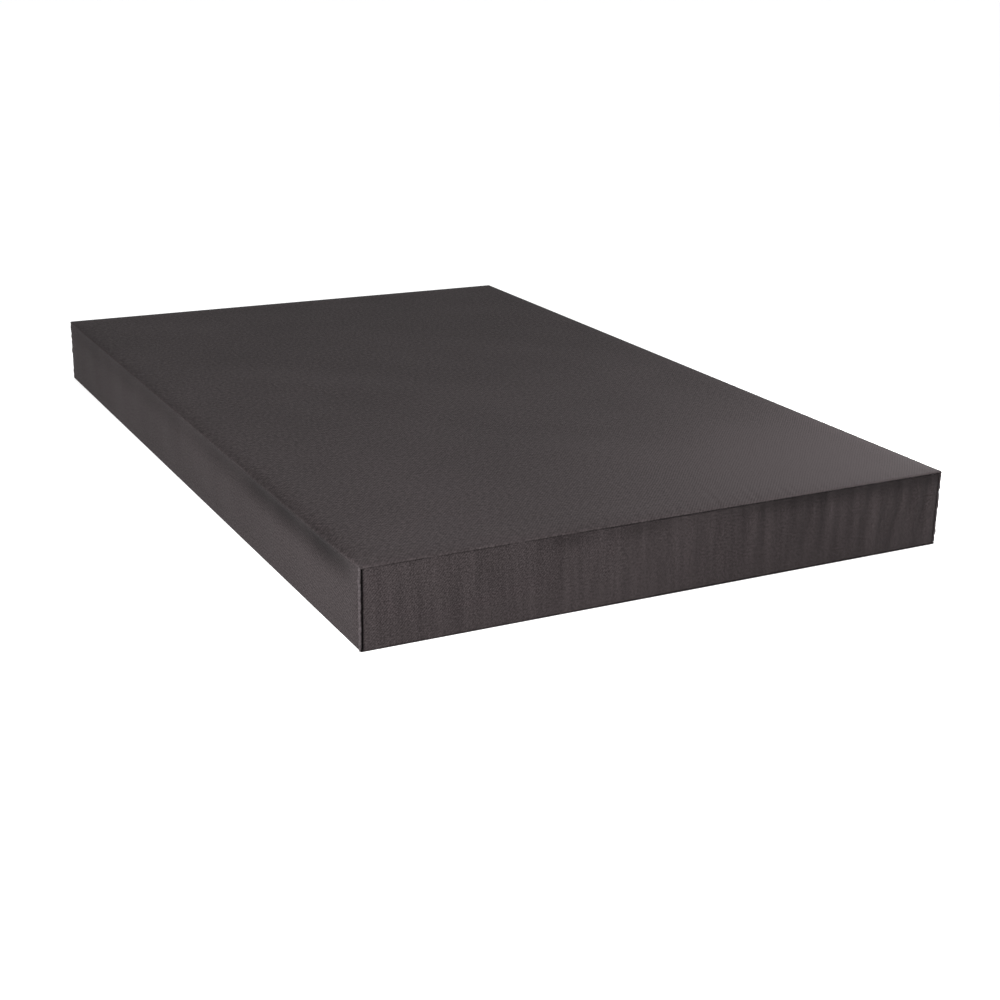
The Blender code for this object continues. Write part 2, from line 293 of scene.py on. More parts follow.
@dataclass(frozen=True)
class TwillFinish:
    """Charcoal twill: diagonal wales, a mottled yarn, a slow drift of tone, a few specks of lint, painted
    shade and a painted highlight.
    """

    name: str = "charcoal_twill"
    dark: Colour = (0.0125, 0.0102, 0.0105)
    light: Colour = (0.0440, 0.0362, 0.0372)
    # painted highlight colour: the twill as a sheen would light it
    painted_highlight: Colour = (0.0560, 0.0470, 0.0485)
    lint: Colour = (0.26, 0.24, 0.24)
    wale: float = 4.8 * MM
    yarn: float = 1.2 * MM
    heather: float = 7.5 * MM
    # how much the wales' contrast is painted up where the highlight is painted
    rib: float = 0.42
    streak: float = 0.0
    lint_cell: float = 34 * MM
    lint_size: float = 0.030
    roughness: float = 0.78

    def material(self) -> bpy.types.Material:
        """Wales and yarns are sines of the cloth's diagonals. They feed the bump and the colour, the wales
        more where a highlight is painted. Shade is painted in seams, grooves and creases, a highlight is
        painted where a sheen would show, and a border's streaks are noise drawn out across the border."""
        graph = Graph(self.name)
        cloth, along, across = graph.weave_axes()
        drift = graph.noise(cloth, 0.160, 2) * 0.012
        wales = ((along * 0.74 - across * 0.67 + drift) / self.wale).wave()
        yarns = ((along + across * 0.9) / self.yarn).wave()
        fuzz = graph.noise(cloth, 2.0 * MM, 3, 0.7)
        heather = graph.noise(cloth, self.heather, 3, 0.75)
        tone = graph.noise(cloth, 0.30, 3)
        # painted light: above 0, shade painted in seams, grooves and creases; below 0, a painted highlight
        fold = graph.node("Attribute", {"attribute_name": PAINTED_SHADE_AND_HIGHLIGHT}, None, "Fac")
        # the wales are painted stronger where the highlight is painted, a painted sheen on the ribs
        ribs = wales * ((fold * -1).ramp(0.15, 1.0) * self.rib + 0.08)
        mottle = heather * 0.74 + fuzz * 0.50 + tone * 0.12 + ribs + yarns * 0.04
        if self.streak:
            mottle = mottle + self.streaks(graph, along, across) * self.streak
        base = graph.mix(mottle.ramp(0.56, 0.98), opaque(self.dark), opaque(self.light))
        # painted highlight where the attribute is below 0
        painted_highlight = graph.mix(fold * -0.6, base, opaque(self.painted_highlight))
        # painted shade, nearly black, where the attribute is above 0
        folded = graph.mix(fold * 0.85, painted_highlight, (0.002, 0.0017, 0.0018, 1.0))
        height = wales * 0.50 + yarns * 0.12 + fuzz * 0.50 + heather * 0.30
        return graph.finish(
            Base_Color=graph.mix(self.lint_mask(graph, cloth), folded, opaque(self.lint)),
            Roughness=(self.roughness + (fuzz - 0.5) * 0.14),
            Normal=graph.bump(height, 0.30 * MM, 0.9),
            Specular_IOR_Level=0.03,
            Sheen_Weight=0.02,
            Sheen_Roughness=0.40,
            Sheen_Tint=(0.96, 0.90, 0.92, 1.0),
        )

    def streaks(self, graph: Graph, along: Shade, across: Shade) -> Shade:
        """Noise from -0.5 to 0.5 in narrow bands that run across the border and wander a little."""
        place = graph.node("CombineXYZ", None, {0: along + across * 0.05, 1: across * 0.07})
        return graph.noise(place, 17 * MM, 3, 0.6) - 0.5

    def lint_mask(self, graph: Graph, cloth: Shade) -> Shade:
        """1 on a small speck in about one cell out of eight, drawn out by noise so that it isn't round."""
        settings = {"feature": "F1"}
        bent = graph.node("VectorMath", {"operation": "ADD"}, {0: cloth, 1: self.wobble(graph, cloth)})
        inputs = {"Vector": bent, "Scale": 1 / self.lint_cell}
        near = graph.node("TexVoronoi", settings, inputs, "Distance")
        chance = graph.node("SeparateColor", None, {0: Shade(graph, near.socket.node.outputs["Color"])})
        return near.ramp(self.lint_size, self.lint_size * 0.4) * chance.ramp(0.87, 0.89) * 0.7

    def wobble(self, graph: Graph, cloth: Shade) -> Shade:
        """A shift of a fraction of a millimetre that bends the specks."""
        inputs = {"Vector": cloth, "Scale": 900.0, "Detail": 1.0}
        shift = graph.node("TexNoise", None, inputs, "Color")
        return graph.node("VectorMath", {"operation": "SCALE"}, {0: shift, "Scale": 1.4 * MM})


@dataclass(frozen=True)
class WovenFinish:
    """A plain weave of two sets of threads, for tape, casing and label."""

    name: str
    dark: Colour
    light: Colour
    thread: float
    depth: float = 0.15 * MM
    roughness: float = 0.85
    sheen: float = 0.2
    rib: float = 1.0

    def material(self) -> bpy.types.Material:
        """Threads are sines along and across the cloth, whose product is a grid of small bumps."""
        graph = Graph(self.name)
        cloth, along, across = graph.weave_axes()
        threads = (along / self.thread).wave() * (across / (self.thread * self.rib)).wave()
        fuzz = graph.noise(cloth, self.thread * 1.5, 3, 0.6)
        tone = graph.noise(cloth, 0.09, 2)
        share = threads * 0.45 + fuzz * 0.35 + tone * 0.2
        return graph.finish(
            Base_Color=graph.mix(share, opaque(self.dark), opaque(self.light)),
            Roughness=(self.roughness + (fuzz - 0.5) * 0.1),
            Normal=graph.bump(threads * 0.7 + fuzz * 0.3, self.depth),
            Sheen_Weight=self.sheen,
            Sheen_Roughness=0.5,
        )


@dataclass(frozen=True)
class FibreFinish:
    """A matted fibre, such as wadding, cotton felt or the open cells of foam."""

    name: str
    dark: Colour
    light: Colour
    strand: float
    depth: float
    cells: bool = False

    def material(self) -> bpy.types.Material:
        """Fine noise stretched by coarser noise for fibres, or the ridges of a Voronoi pattern for cells."""
        graph = Graph(self.name)
        place = graph.node("TexCoord", None, None, "Object")
        coarse = graph.noise(place, self.strand * 14, 3, 0.6)
        fine = graph.noise(place, self.strand, 4, 0.7)
        if self.cells:
            inputs = {"Vector": place, "Scale": 1 / self.strand}
            fine = graph.node("TexVoronoi", {"feature": "F1"}, inputs, "Distance")
        share = fine * 0.6 + coarse * 0.4
        return graph.finish(
            Base_Color=graph.mix(share, opaque(self.dark), opaque(self.light)),
            Roughness=(0.88 + coarse * 0.1),
            Normal=graph.bump(share, self.depth),
            Sheen_Weight=0.15,
        )


@dataclass(frozen=True)
class NylonFinish:
    """Moulded nylon of the zip's coils, with a slight waxy gloss that varies from turn to turn."""

    name: str = "coil_nylon"
    dark: Colour = (0.016, 0.015, 0.015)
    light: Colour = (0.034, 0.032, 0.032)

    def material(self) -> bpy.types.Material:
        """Noise in the frame's coordinates for the colour and the gloss."""
        graph = Graph(self.name)
        place = graph.node("TexCoord", None, None, "Object")
        cloud = graph.noise(place, 12 * MM, 3)
        grain = graph.noise(place, 0.5 * MM, 2)
        return graph.finish(
            Base_Color=graph.mix(cloud, opaque(self.dark), opaque(self.light)),
            Roughness=(0.36 + grain * 0.2),
            Normal=graph.bump(grain, 0.03 * MM),
            Specular_IOR_Level=0.5,
        )


@dataclass(frozen=True)
class MetalFinish:
    """Gunmetal enamel on die-cast zinc, rubbed brighter by handling."""

    name: str = "zip_gunmetal"
    dark: Colour = (0.050, 0.048, 0.047)
    worn: Colour = (0.26, 0.25, 0.24)

    def material(self) -> bpy.types.Material:
        """Blotchy noise decides where the enamel is rubbed, and fine streaks roughen it."""
        graph = Graph(self.name)
        place = graph.node("TexCoord", None, None, "Object")
        blot = graph.noise(place, 6 * MM, 4, 0.65)
        grain = graph.noise(place, 0.3 * MM, 3)
        rubbed = blot.ramp(0.52, 0.72)
        return graph.finish(
            Base_Color=graph.mix(rubbed, opaque(self.dark), opaque(self.worn)),
            Metallic=(0.55 + rubbed * 0.4),
            Roughness=(0.30 + grain * 0.18),
            Normal=graph.bump(grain, 0.02 * MM),
        )


@dataclass
class Finishes:
    """Every material of the mattress, by slot."""

    made: dict[Slot | Trim, bpy.types.Material] = field(default_factory=dict)

    def __post_init__(self) -> None:
        """Makes the materials."""
        white = (0.86, 0.86, 0.84)
        self.made = {
            Slot.TWILL: TwillFinish().material(),
            Trim.BORDER: TwillFinish("border_twill", streak=0.20, heather=3.5 * MM, wale=3.9 * MM).material(),
            Trim.PLAIN: TwillFinish("side_twill", streak=0.05, heather=3.8 * MM, wale=3.9 * MM).material(),
            Slot.SEAM: TwillFinish("seam_twill", (0.026, 0.022, 0.023), (0.062, 0.053, 0.055)).material(),
            Slot.TAPE: WovenFinish("tape_weave", (0.020, 0.019, 0.019), (0.045, 0.042, 0.042),
                                   0.9 * MM).material(),
            Slot.COIL: NylonFinish().material(),
            Slot.METAL: MetalFinish().material(),
            Slot.LABEL: WovenFinish("label_weave", (0.42, 0.41, 0.39), (0.55, 0.54, 0.52), 0.5 * MM,
                                    0.05 * MM, 0.5).material(),
            Slot.KNIT: WovenFinish("casing_knit_rib", (0.60, 0.58, 0.53), (0.78, 0.76, 0.71), 2.4 * MM,
                                   0.4 * MM, rib=1.6).material(),
            Slot.EDGE: FibreFinish("bonded_fibre", (0.68, 0.68, 0.66), white, 1.2 * MM, 0.8 * MM).material(),
            Slot.PAD: FibreFinish("wadding", (0.74, 0.74, 0.72), (0.90, 0.90, 0.88), 1.6 * MM, MM).material(),
            Slot.COTTON: FibreFinish("felted_cotton", (0.48, 0.43, 0.34), (0.74, 0.69, 0.59), MM,
                                     0.9 * MM).material(),
            Slot.FOAM: FibreFinish("cut_foam", (0.66, 0.58, 0.34), (0.84, 0.78, 0.55), 1.1 * MM, 0.5 * MM,
                                   True).material(),
        }

    def __getitem__(self, slot: Slot | Trim) -> bpy.types.Material:
        """The material of a slot, or of another look that shares it."""
        return self.made[slot]


# --------------------------------------------------------------------------------------------------
# Surfaces
# --------------------------------------------------------------------------------------------------


def smooth(value: Array, start: float, end: float) -> Array:
    """Smoothstep: 0 where value is at start, 1 at end, 3t^2 - 2t^3 between."""
    t = np.clip((value - start) / (end - start), 0, 1)
    return t * t * (3 - 2 * t)


def hump(value: Array, middle: float, width: float) -> Array:
    """A bell of height 1: e to the minus ((value - middle) / width) squared."""
    return np.exp(-(((value - middle) / width) ** 2))


def waves(value: Array, lengths: Sequence[float], seed: int) -> Array:
    """A sum of sines of these wavelengths, each with its own phase, divided by the root of their number."""
    phases = np.random.default_rng(seed).uniform(0, 2 * np.pi, len(lengths))
    total = sum(np.sin(2 * np.pi * value / length + phase) for length, phase in zip(lengths, phases))
    return total / np.sqrt(len(lengths))


def lines(start: float, end: float, step: float) -> Array:
    """Evenly spaced values from start to end, at most step apart."""
    return np.linspace(start, end, int(np.ceil(abs(end - start) / step)) + 1)


def normals_of(points: Array) -> Array:
    """Unit normals of a grid: the cross product of its differences along rows and along columns."""
    across = np.gradient(points, axis=1)
    along = np.gradient(points, axis=0)
    normal = np.cross(across, along)
    length = np.linalg.norm(normal, axis=2, keepdims=True)
    return normal / np.maximum(length, 1e-12)


def grid_faces(rows: int, columns: int, start: int = 0, flip: bool = False) -> Array:
    """The four corners of every cell of a grid of points numbered row by row.

    Args:
        rows: how many rows of points.
        columns: how many points in a row.
        start: the first point's number.
        flip: whether to turn the faces round.

    Returns:
        An array of four numbers per face.
    """
    index = np.arange(rows * columns).reshape(rows, columns) + start
    corners = (index[:-1, :-1], index[:-1, 1:], index[1:, 1:], index[1:, :-1])
    faces = np.stack(corners, axis=-1).reshape(-1, 4)
    return faces[:, ::-1] if flip else faces


def rim_of(rows: int, columns: int) -> Array:
    """The numbers of a grid's boundary points, in order round it."""
    index = np.arange(rows * columns).reshape(rows, columns)
    return np.concatenate([index[0, :-1], index[:-1, -1], index[-1, :0:-1], index[:0:-1, 0]])


def make_mesh(name: str, points: Array, faces: Array, uv: Array | None = None,
              fold: Array | None = None) -> bpy.types.Object:
    """Makes an object from arrays, linked to the scene.

    Args:
        name: the piece's name.
        points: N by 3, in the frame's coordinates.
        faces: M by 4 (or by 3) point numbers, outward.
        uv: N by 2 coordinates of the cloth in metres, if it has a weave.
        fold: N values from -1 where a highlight is painted, through 0, to 1 where the darkest shade is
            painted, if it has any.

    Returns:
        The object, at the origin.
    """
    mesh = bpy.data.meshes.new(name)
    sides = faces.shape[1]
    mesh.vertices.add(len(points))
    mesh.vertices.foreach_set("co", points.astype(np.float32).ravel())
    mesh.loops.add(faces.size)
    mesh.loops.foreach_set("vertex_index", faces.astype(np.int32).ravel())
    mesh.polygons.add(len(faces))
    mesh.polygons.foreach_set("loop_start", np.arange(0, faces.size, sides, dtype=np.int32))
    mesh.update(calc_edges=True)
    mesh.validate()
    mesh.polygons.foreach_set("use_smooth", np.ones(len(mesh.polygons), bool))
    # the painted shade and painted highlight, as a point attribute
    if fold is not None:
        mesh.attributes.new(PAINTED_SHADE_AND_HIGHLIGHT, "FLOAT", "POINT").data.foreach_set("value", fold.astype(np.float32))
    if uv is not None:
        layer = mesh.uv_layers.new(name=WEAVE_UV)
        order = np.empty(len(mesh.loops), np.int32)
        mesh.loops.foreach_get("vertex_index", order)
        layer.data.foreach_set("uv", uv[order].astype(np.float32).ravel())
    mesh.update()
    piece = bpy.data.objects.new(name, mesh)
    bpy.context.scene.collection.objects.link(piece)
    return piece


def shell(name: str, outer: Array, inner: Array, uv: Array, fold: Array | None = None) -> bpy.types.Object:
    """A closed body between two grids of the same size: each grid's faces, and a strip round their edges.

    Args:
        name: the piece's name.
        outer: rows by columns by 3, whose normals point out.
        inner: the same grid on the other side of the body.
        uv: rows by columns by 2, the cloth's own coordinates in metres.
        fold: rows by columns, how much shade (above 0) or highlight (below 0) is painted at each point.

    Returns:
        The object.
    """
    rows, columns = outer.shape[:2]
    count = rows * columns
    ring = rim_of(rows, columns)
    after = np.roll(ring, -1)
    strip = np.stack([ring + count, after + count, after, ring], axis=1)
    faces = np.concatenate([grid_faces(rows, columns), grid_faces(rows, columns, count, True), strip])
    points = np.concatenate([outer.reshape(-1, 3), inner.reshape(-1, 3)])
    depth = None if fold is None else np.tile(fold.ravel(), 2)
    return make_mesh(name, points, faces, np.tile(uv.reshape(-1, 2), (2, 1)), depth)


def cloth_sheet(name: str, outer: Array, uv: Array, cloth: float,
                fold: Array | None = None) -> bpy.types.Object:
    """A sheet of cloth: its outer face, and the same face set back along its normals by its thickness."""
    return shell(name, outer, outer - normals_of(outer) * cloth, uv, fold)


def sample(values: Array, start: tuple[float, float], step: tuple[float, float], u: Array, v: Array) -> Array:
    """Reads an even grid anywhere, as a cubic B-spline: sixteen neighbours, each weighed by its distance.

    Args:
        values: rows by columns.
        start: the first row's u and the first column's v.
        step: the distance between rows and between columns.
        u: where it is read across the rows.
        v: where it is read along them, in the same shape.

    Returns:
        The values there.
    """

    def basis(place: Array) -> tuple[Array, tuple[Array, ...]]:
        """The line below each place, and the weights of the four lines round it."""
        base = np.floor(place).astype(int)
        t = place - base
        parts = ((1 - t) ** 3, 3 * t**3 - 6 * t**2 + 4, -3 * t**3 + 3 * t**2 + 3 * t + 1, t**3)
        return base, tuple(part / 6 for part in parts)

    row, row_parts = basis((u - start[0]) / step[0])
    column, column_parts = basis((v - start[1]) / step[1])
    total = np.zeros(np.broadcast(u, v).shape)
    for i, row_part in enumerate(row_parts):
        for j, column_part in enumerate(column_parts):
            place = (np.clip(row + i - 1, 0, values.shape[0] - 1),
                     np.clip(column + j - 1, 0, values.shape[1] - 1))
            total += row_part * column_part * values[place]
    return total


# --------------------------------------------------------------------------------------------------
# The mattress
# --------------------------------------------------------------------------------------------------


@dataclass(frozen=True)
class Size:
    """The mattress's own box and fold, read from the frame."""

    half_x: float
    half_y: float
    height: float
    middle: float
    fold_start: Vector
    fold_end: Vector

    @classmethod
    def read(cls) -> "Size":
        """Reads the sizes from the frame's nodes."""
        low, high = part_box("cover_top_back")
        tape_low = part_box("zip_tape_upper")[0]
        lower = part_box("zip_tape_lower")[1]
        middle = (tape_low.z + lower.z) / 2
        start = Vector((-0.055, 0, high.z))
        end = Vector((0.125, 0, high.z))
        return cls(high.x, high.y, high.z, middle, start, end)


@dataclass(frozen=True)
class Roll:
    """How a panel rolls over its edge: up a short wall from the seam, then round a quarter circle."""

    radius: float = 3.4 * MM
    drop: float = 4.6 * MM
    steps: int = 5

    def insets(self) -> Array:
        """Distances behind the side's face, from the seam up to the flat."""
        angle = np.linspace(0, np.pi / 2, self.steps)
        return np.concatenate([[0.0], self.radius * (1 - np.cos(angle))])

    def depths(self) -> Array:
        """Distances below the top face, from the seam up to the flat."""
        angle = np.linspace(0, np.pi / 2, self.steps)
        return np.concatenate([[self.drop], self.radius * (1 - np.sin(angle))])


@dataclass
class Settling:
    """The cover's cloth, moved by simulation over an even, open box: it is a little too long beside its
    seams, and the filling presses it out. Seams stay in place, and the fields are held softly. It ends as a
    low swell, with a fine unevenness that comes from its random start; the puckers are Relief's."""

    size: Size
    step: float = 13 * MM
    band: float = 50 * MM
    surplus: float = 0.10
    pressure: float = 0.5
    hold: float = 0.20
    stiffness: float = 40
    bend: float = 0.015
    uneven: float = 0.15 * MM
    frames: int = 15
    limit: float = 2.2 * MM
    fields: dict[str, tuple[Array, tuple[float, float], tuple[float, float]]] = field(default_factory=dict)

    def run(self) -> None:
        """Simulates the cloth, and keeps how far each face moved out."""
        x, y, z = (lines(-self.size.half_x, self.size.half_x, self.step),
                   lines(-self.size.half_y, self.size.half_y, self.step),
                   lines(0, self.size.height, self.step))
        faces = {
            "top": (y, x, lambda v, u: (u, v, np.full(u.shape, self.size.height)), (0, 0, 1)),
            "left": (z, y, lambda v, u: (np.full(u.shape, -self.size.half_x), u, v), (-1, 0, 0)),
            "right": (z, y, lambda v, u: (np.full(u.shape, self.size.half_x), u, v), (1, 0, 0)),
            "front": (z, x, lambda v, u: (u, np.full(u.shape, -self.size.half_y), v), (0, -1, 0)),
            "rear": (z, x, lambda v, u: (u, np.full(u.shape, self.size.half_y), v), (0, 1, 0)),
        }
        grids = {name: np.stack(plan(*np.meshgrid(v, u, indexing="ij")), axis=-1)
                 for name, (v, u, plan, _) in faces.items()}
        every = np.concatenate([grid.reshape(-1, 3) for grid in grids.values()])
        _, first, number = np.unique(np.round(every / (0.1 * MM)).astype(int), axis=0, return_index=True,
                                     return_inverse=True)
        number = number.ravel()
        rest = every[first]
        cells, at = [], 0
        for name, grid in grids.items():
            turned = name in ("left", "rear")
            cells.append(number[grid_faces(*grid.shape[:2], at, turned)])
            at += grid.shape[0] * grid.shape[1]
        moved = self.simulate(rest, np.concatenate(cells)) - rest
        at = 0
        for name, (v, u, _, out) in faces.items():
            count = len(v) * len(u)
            shift = (moved[number[at:at + count]] @ np.array(out, float)).reshape(len(v), len(u))
            at += count
            shift = self.limit * np.tanh(shift / self.limit)
            self.fields[name] = shift, (v[0], u[0]), (v[1] - v[0], u[1] - u[0])
            LOG.info("settled %s: %.2f to %.2f mm", name, shift.min() / MM, shift.max() / MM)

    def simulate(self, rest: Array, cells: Array) -> Array:
        """Runs the cloth on a mesh of these points and faces.

        Args:
            rest: N by 3, the box's points.
            cells: M by 4, its faces.

        Returns:
            N by 3, where the points are after the last frame.
        """
        edge_x = self.size.half_x - np.abs(rest[:, 0])
        edge_y = self.size.half_y - np.abs(rest[:, 1])
        away = np.sort(np.stack([edge_x, edge_y, self.size.height - rest[:, 2]], axis=1), axis=1)[:, 1]
        away = np.minimum(away, np.where(rest[:, 2] < self.size.height - MM, rest[:, 2], 1.0))
        sheet = make_mesh("settling_cloth", rest, cells)
        jitter = np.random.default_rng(5).normal(0, self.uneven, rest.shape) * (away > MM)[:, None]
        sheet.data.vertices.foreach_set("co", (rest + jitter).astype(np.float32).ravel())
        held = np.where(away < MM, 1.0, self.hold * smooth(away, 0.5 * self.band, 1.3 * self.band))
        loose = 1 - smooth(away, 0.6 * self.band, 1.1 * self.band)
        for name, weights in (("held", held), ("loose", loose)):
            group = sheet.vertex_groups.new(name=name)
            for level in np.unique(np.round(weights, 2)):
                group.add(np.flatnonzero(np.round(weights, 2) == level).tolist(), float(level), "REPLACE")
        cloth = sheet.modifiers.new("cloth", "CLOTH")
        settings = cloth.settings
        settings.quality = 6
        settings.mass = 0.2
        settings.tension_stiffness = settings.compression_stiffness = self.stiffness
        settings.shear_stiffness = 0.4 * self.stiffness
        settings.bending_stiffness = self.bend
        settings.air_damping = 2
        settings.use_pressure = True
        settings.uniform_pressure_force = self.pressure
        settings.effector_weights.gravity = 0
        settings.vertex_group_mass = "held"
        settings.pin_stiffness = 1.0
        settings.vertex_group_shrink = "loose"
        settings.shrink_min = 0.0
        settings.shrink_max = -self.surplus
        cloth.collision_settings.use_collision = False
        cloth.point_cache.frame_start, cloth.point_cache.frame_end = 1, self.frames
        scene = bpy.context.scene
        for frame in range(1, self.frames + 1):
            scene.frame_set(frame)
        found = np.empty(rest.size, np.float32)
        settled = sheet.evaluated_get(bpy.context.evaluated_depsgraph_get())
        settled.data.vertices.foreach_get("co", found)
        scene.frame_set(1)
        mesh = sheet.data
        bpy.data.objects.remove(sheet)
        bpy.data.meshes.remove(mesh)
        return found.reshape(-1, 3).astype(float)

    def out(self, face: str, v: Array, u: Array) -> Array:
        """How far a face's cloth moved out.

        Args:
            face: top, left, right, front or rear.
            v: y on the top, and z on a side.
            u: x on the top and ends, and y on the long sides.

        Returns:
            The distance, in metres; 0 where nothing was simulated.
        """
        if face not in self.fields:
            return np.zeros(np.broadcast(u, v).shape)
        values, start, step = self.fields[face]
        return sample(values, start, step, v, u)


@dataclass
class Relief:
    """Where the cover stands off its plain shape: soft edges, slow hollows, puckers and wrinkles."""

    size: Size
    settled: Settling
    edge_sink: float = 0.9 * MM
    left_sink: float = 2.6 * MM
    hollow: float = 0.6 * MM
    pucker: float = 1.1 * MM
    ripple: float = 1.5 * MM
    undercut: float = 5.0 * MM
    draw: float = 4.4 * MM

    def soft_left(self, y: Array) -> Array:
        """How soft the left upper edge is along its length, from 0 to 1: softest in the front third, and
        crisp again at the corners."""
        wavy = 1 + 0.13 * waves(y, (0.31, 0.17), 13)
        return (0.34 + 0.66 * hump(y, -0.66, 0.34)) * wavy * smooth(self.size.half_y - np.abs(y), 0.0, 0.09)

    def seam(self, x: Array, y: Array) -> Array:
        """How far the upper and lower seams are drawn in: least on the left, and at the front most on the
        right, with a slow variation."""
        front = smooth(-y, self.size.half_y - 0.020, self.size.half_y - 0.004)
        left = smooth(-x, self.size.half_x - 0.020, self.size.half_x - 0.004)
        wavy = 0.25 * waves(x, (0.083, 0.051, 0.13), 19) + 0.7 * smooth(x, -0.30, 0.05)
        return MM * np.clip(0.8 + front * (wavy - 0.15) - left * 0.55, 0.2, 2.2)

    def dip(self, x: Array, y: Array) -> Array:
        """How far the top is moved up by its slow shape: it sinks towards its edges, rounds off over the soft
        part of the left one, and has shallow hollows."""
        left = x + self.size.half_x
        edge = np.minimum(self.size.half_x - np.abs(x), self.size.half_y - np.abs(y))
        sink = -self.edge_sink * np.exp(-np.maximum(edge, 0) / 0.030)
        sink -= self.left_sink * self.soft_left(y) * np.exp(-((np.maximum(left, 0) / 0.0105) ** 1.6))
        slow = waves(x + 0.3 * y, (0.41, 0.27, 0.63), 3) * waves(y - 0.2 * x, (0.52, 0.77, 0.33), 5)
        return sink + self.hollow * slow * smooth(edge, 0.01, 0.10)

    def top(self, x: Array, y: Array) -> Array:
        """How far the top face is moved up: its slow shape, and puckers at the front seam in short ridges
        that run back from it and die out into the panel."""
        left = x + self.size.half_x
        front = y + self.size.half_y
        reach = 0.020 + 0.035 * hump(x, 0.10, 0.22)
        size = 0.12 + 0.88 * hump(x, 0.08, 0.26) + 0.25 * smooth(x, 0.3, 0.5)
        short = waves(x - 0.25 * front, (0.0165, 0.0212, 0.0290), 11)
        ridges = short * size * np.exp(-np.maximum(front, 0) / reach) * smooth(front, 0.001, 0.009)
        side = waves(y + 0.2 * left, (0.041, 0.029, 0.060), 17)
        side = 0.35 * side * np.exp(-np.maximum(left, 0) / 0.025) * smooth(left, 0.001, 0.010)
        ends = smooth(self.size.half_x - np.abs(x), 0.0, 0.03)
        edge = np.minimum(self.size.half_x - np.abs(x), self.size.half_y - np.abs(y))
        settled = self.settled.out("top", y, x) * smooth(edge, 0.0, 0.010)
        return self.dip(x, y) + self.pucker * (ridges * ends + side) + settled

    def shade_top(self, x: Array, y: Array) -> Array:
        """Where a highlight is painted on the top, below 0, and where shade is painted, above 0: a painted
        highlight towards the front right corner and along the front, and painted shade beside the soft part of
        the left edge."""
        # painted highlight towards the front right corner and along the front
        painted_highlight = 0.85 * np.exp(-(((x - 0.62) / 0.50) ** 2) - ((y + 0.95) / 0.42) ** 2)
        painted_highlight = painted_highlight + 0.22 * np.exp(-(((y + 0.95) / 0.80) ** 2))
        # painted shade beside the soft part of the left edge, where it overhangs
        painted_left_shade = 0.60 * self.soft_left(y) * np.exp(-np.maximum(x + self.size.half_x, 0) / 0.016)
        return painted_left_shade - painted_highlight

    def shade_front(self, x: Array, height: Array) -> Array:
        """Where shade is painted on the front border: in patches under its upper seam, and all along the right
        half."""
        patches = hump(x, -0.22, 0.05) + 0.8 * hump(x, -0.07, 0.06) + smooth(x, 0.05, 0.25)
        slow = 0.13 * smooth(x, 0.0, 0.3) * (1 + 0.6 * waves(x - 0.02 * height, (0.061, 0.035), 33))
        return 0.45 * np.clip(patches, 0, 1) * hump(height, 0.97, 0.13) + np.clip(slow, 0, 1)

    def shade_left(self, y: Array, height: Array) -> Array:
        """Where shade is painted on the left border: under the soft part of its upper edge, where it
        overhangs.
        """
        return 0.80 * self.soft_left(y) * hump(height, 0.92, 0.19)

    def carry(self, points: Array) -> Array:
        """Squeezes an inner layer with the cover: it is drawn in by the seams' depth at its sides and by a
        little at its faces, its upper half follows the top's slow shape, and its left edge gives way under
        the top seam."""
        x, y, z = points[..., 0], points[..., 1], points[..., 2]
        middle = self.size.height / 2
        up = np.clip(z / middle - 1, 0, 1)
        x = x * (1 - self.draw / self.size.half_x)
        y = y * (1 - self.draw / self.size.half_y)
        y = y + 2.2 * MM * smooth(-y, self.size.half_y - 0.060, self.size.half_y - 0.012)
        edge = np.minimum(self.size.half_x - np.abs(x), self.size.half_y - np.abs(y))
        flat = 0.6 * MM + 1.6 * MM * np.exp(-np.maximum(edge, 0) / 0.05)
        z = z - flat * (z / middle - 1) + self.dip(x, y) * up
        side = np.clip((-x - self.size.half_x + 0.060) / 0.055, 0, 1)
        x = x + (self.undercut + MM) * side * self.soft_left(y) * hump(z, 0.126, 0.028)
        return np.stack([x, y, z], axis=-1)

    def front(self, x: Array, height: Array) -> Array:
        """How far the front border is moved out: drawn in under its upper seam on the right half, with
        upright flutes that strengthen towards the right, and near the right end short ones that lean. height
        runs from 0 at the lower seam to 1 at the upper seam."""
        belly = smooth(height, -0.1, 0.35) * smooth(height, 1.0, 0.80)
        strength = 0.30 + 0.70 * smooth(x, -0.20, 0.30)
        flutes = waves(x + 0.005 * np.sin(5 * height), (0.071, 0.047, 0.115, 0.034), 23)
        crumple = waves(x - 0.030 * height + 0.004 * np.sin(9 * height + 9 * x), (0.0205, 0.0165, 0.028), 29)
        under = -2.6 * MM * smooth(x, -0.15, 0.20) * smooth(0.58 - x, 0.0, 0.10) * hump(height, 0.90, 0.16)
        settled = self.settled.out("front", height * self.size.height, x)
        moved = self.ripple * (strength * flutes + 0.8 * smooth(x, 0.30, 0.50) * crumple) + settled
        return np.maximum(under + belly * moved, -3.6 * MM)

    def left(self, y: Array, height: Array) -> Array:
        """How far the left border is moved out: it is drawn in under the soft part of its upper edge, fills
        out below, and has faint lengthwise creases along its foot."""
        soft = self.soft_left(y)
        under = -self.undercut * soft * hump(height, 0.86, 0.13)
        full = 0.9 * MM * hump(height, 0.35, 0.3)
        slow = 0.6 * MM * waves(y, (0.21, 0.34, 0.13), 31) * np.sin(np.pi * np.clip(height, 0, 1))
        crease = 0.55 * MM * waves(height + 0.02 * np.sin(6 * y), (0.075, 0.050), 37)
        crease *= hump(height, 0.16, 0.13) * (0.25 + hump(y, -0.1, 0.35) + hump(y, -0.85, 0.14))
        return under + full + slow + crease + self.settled.out("left", height * self.size.height, y)

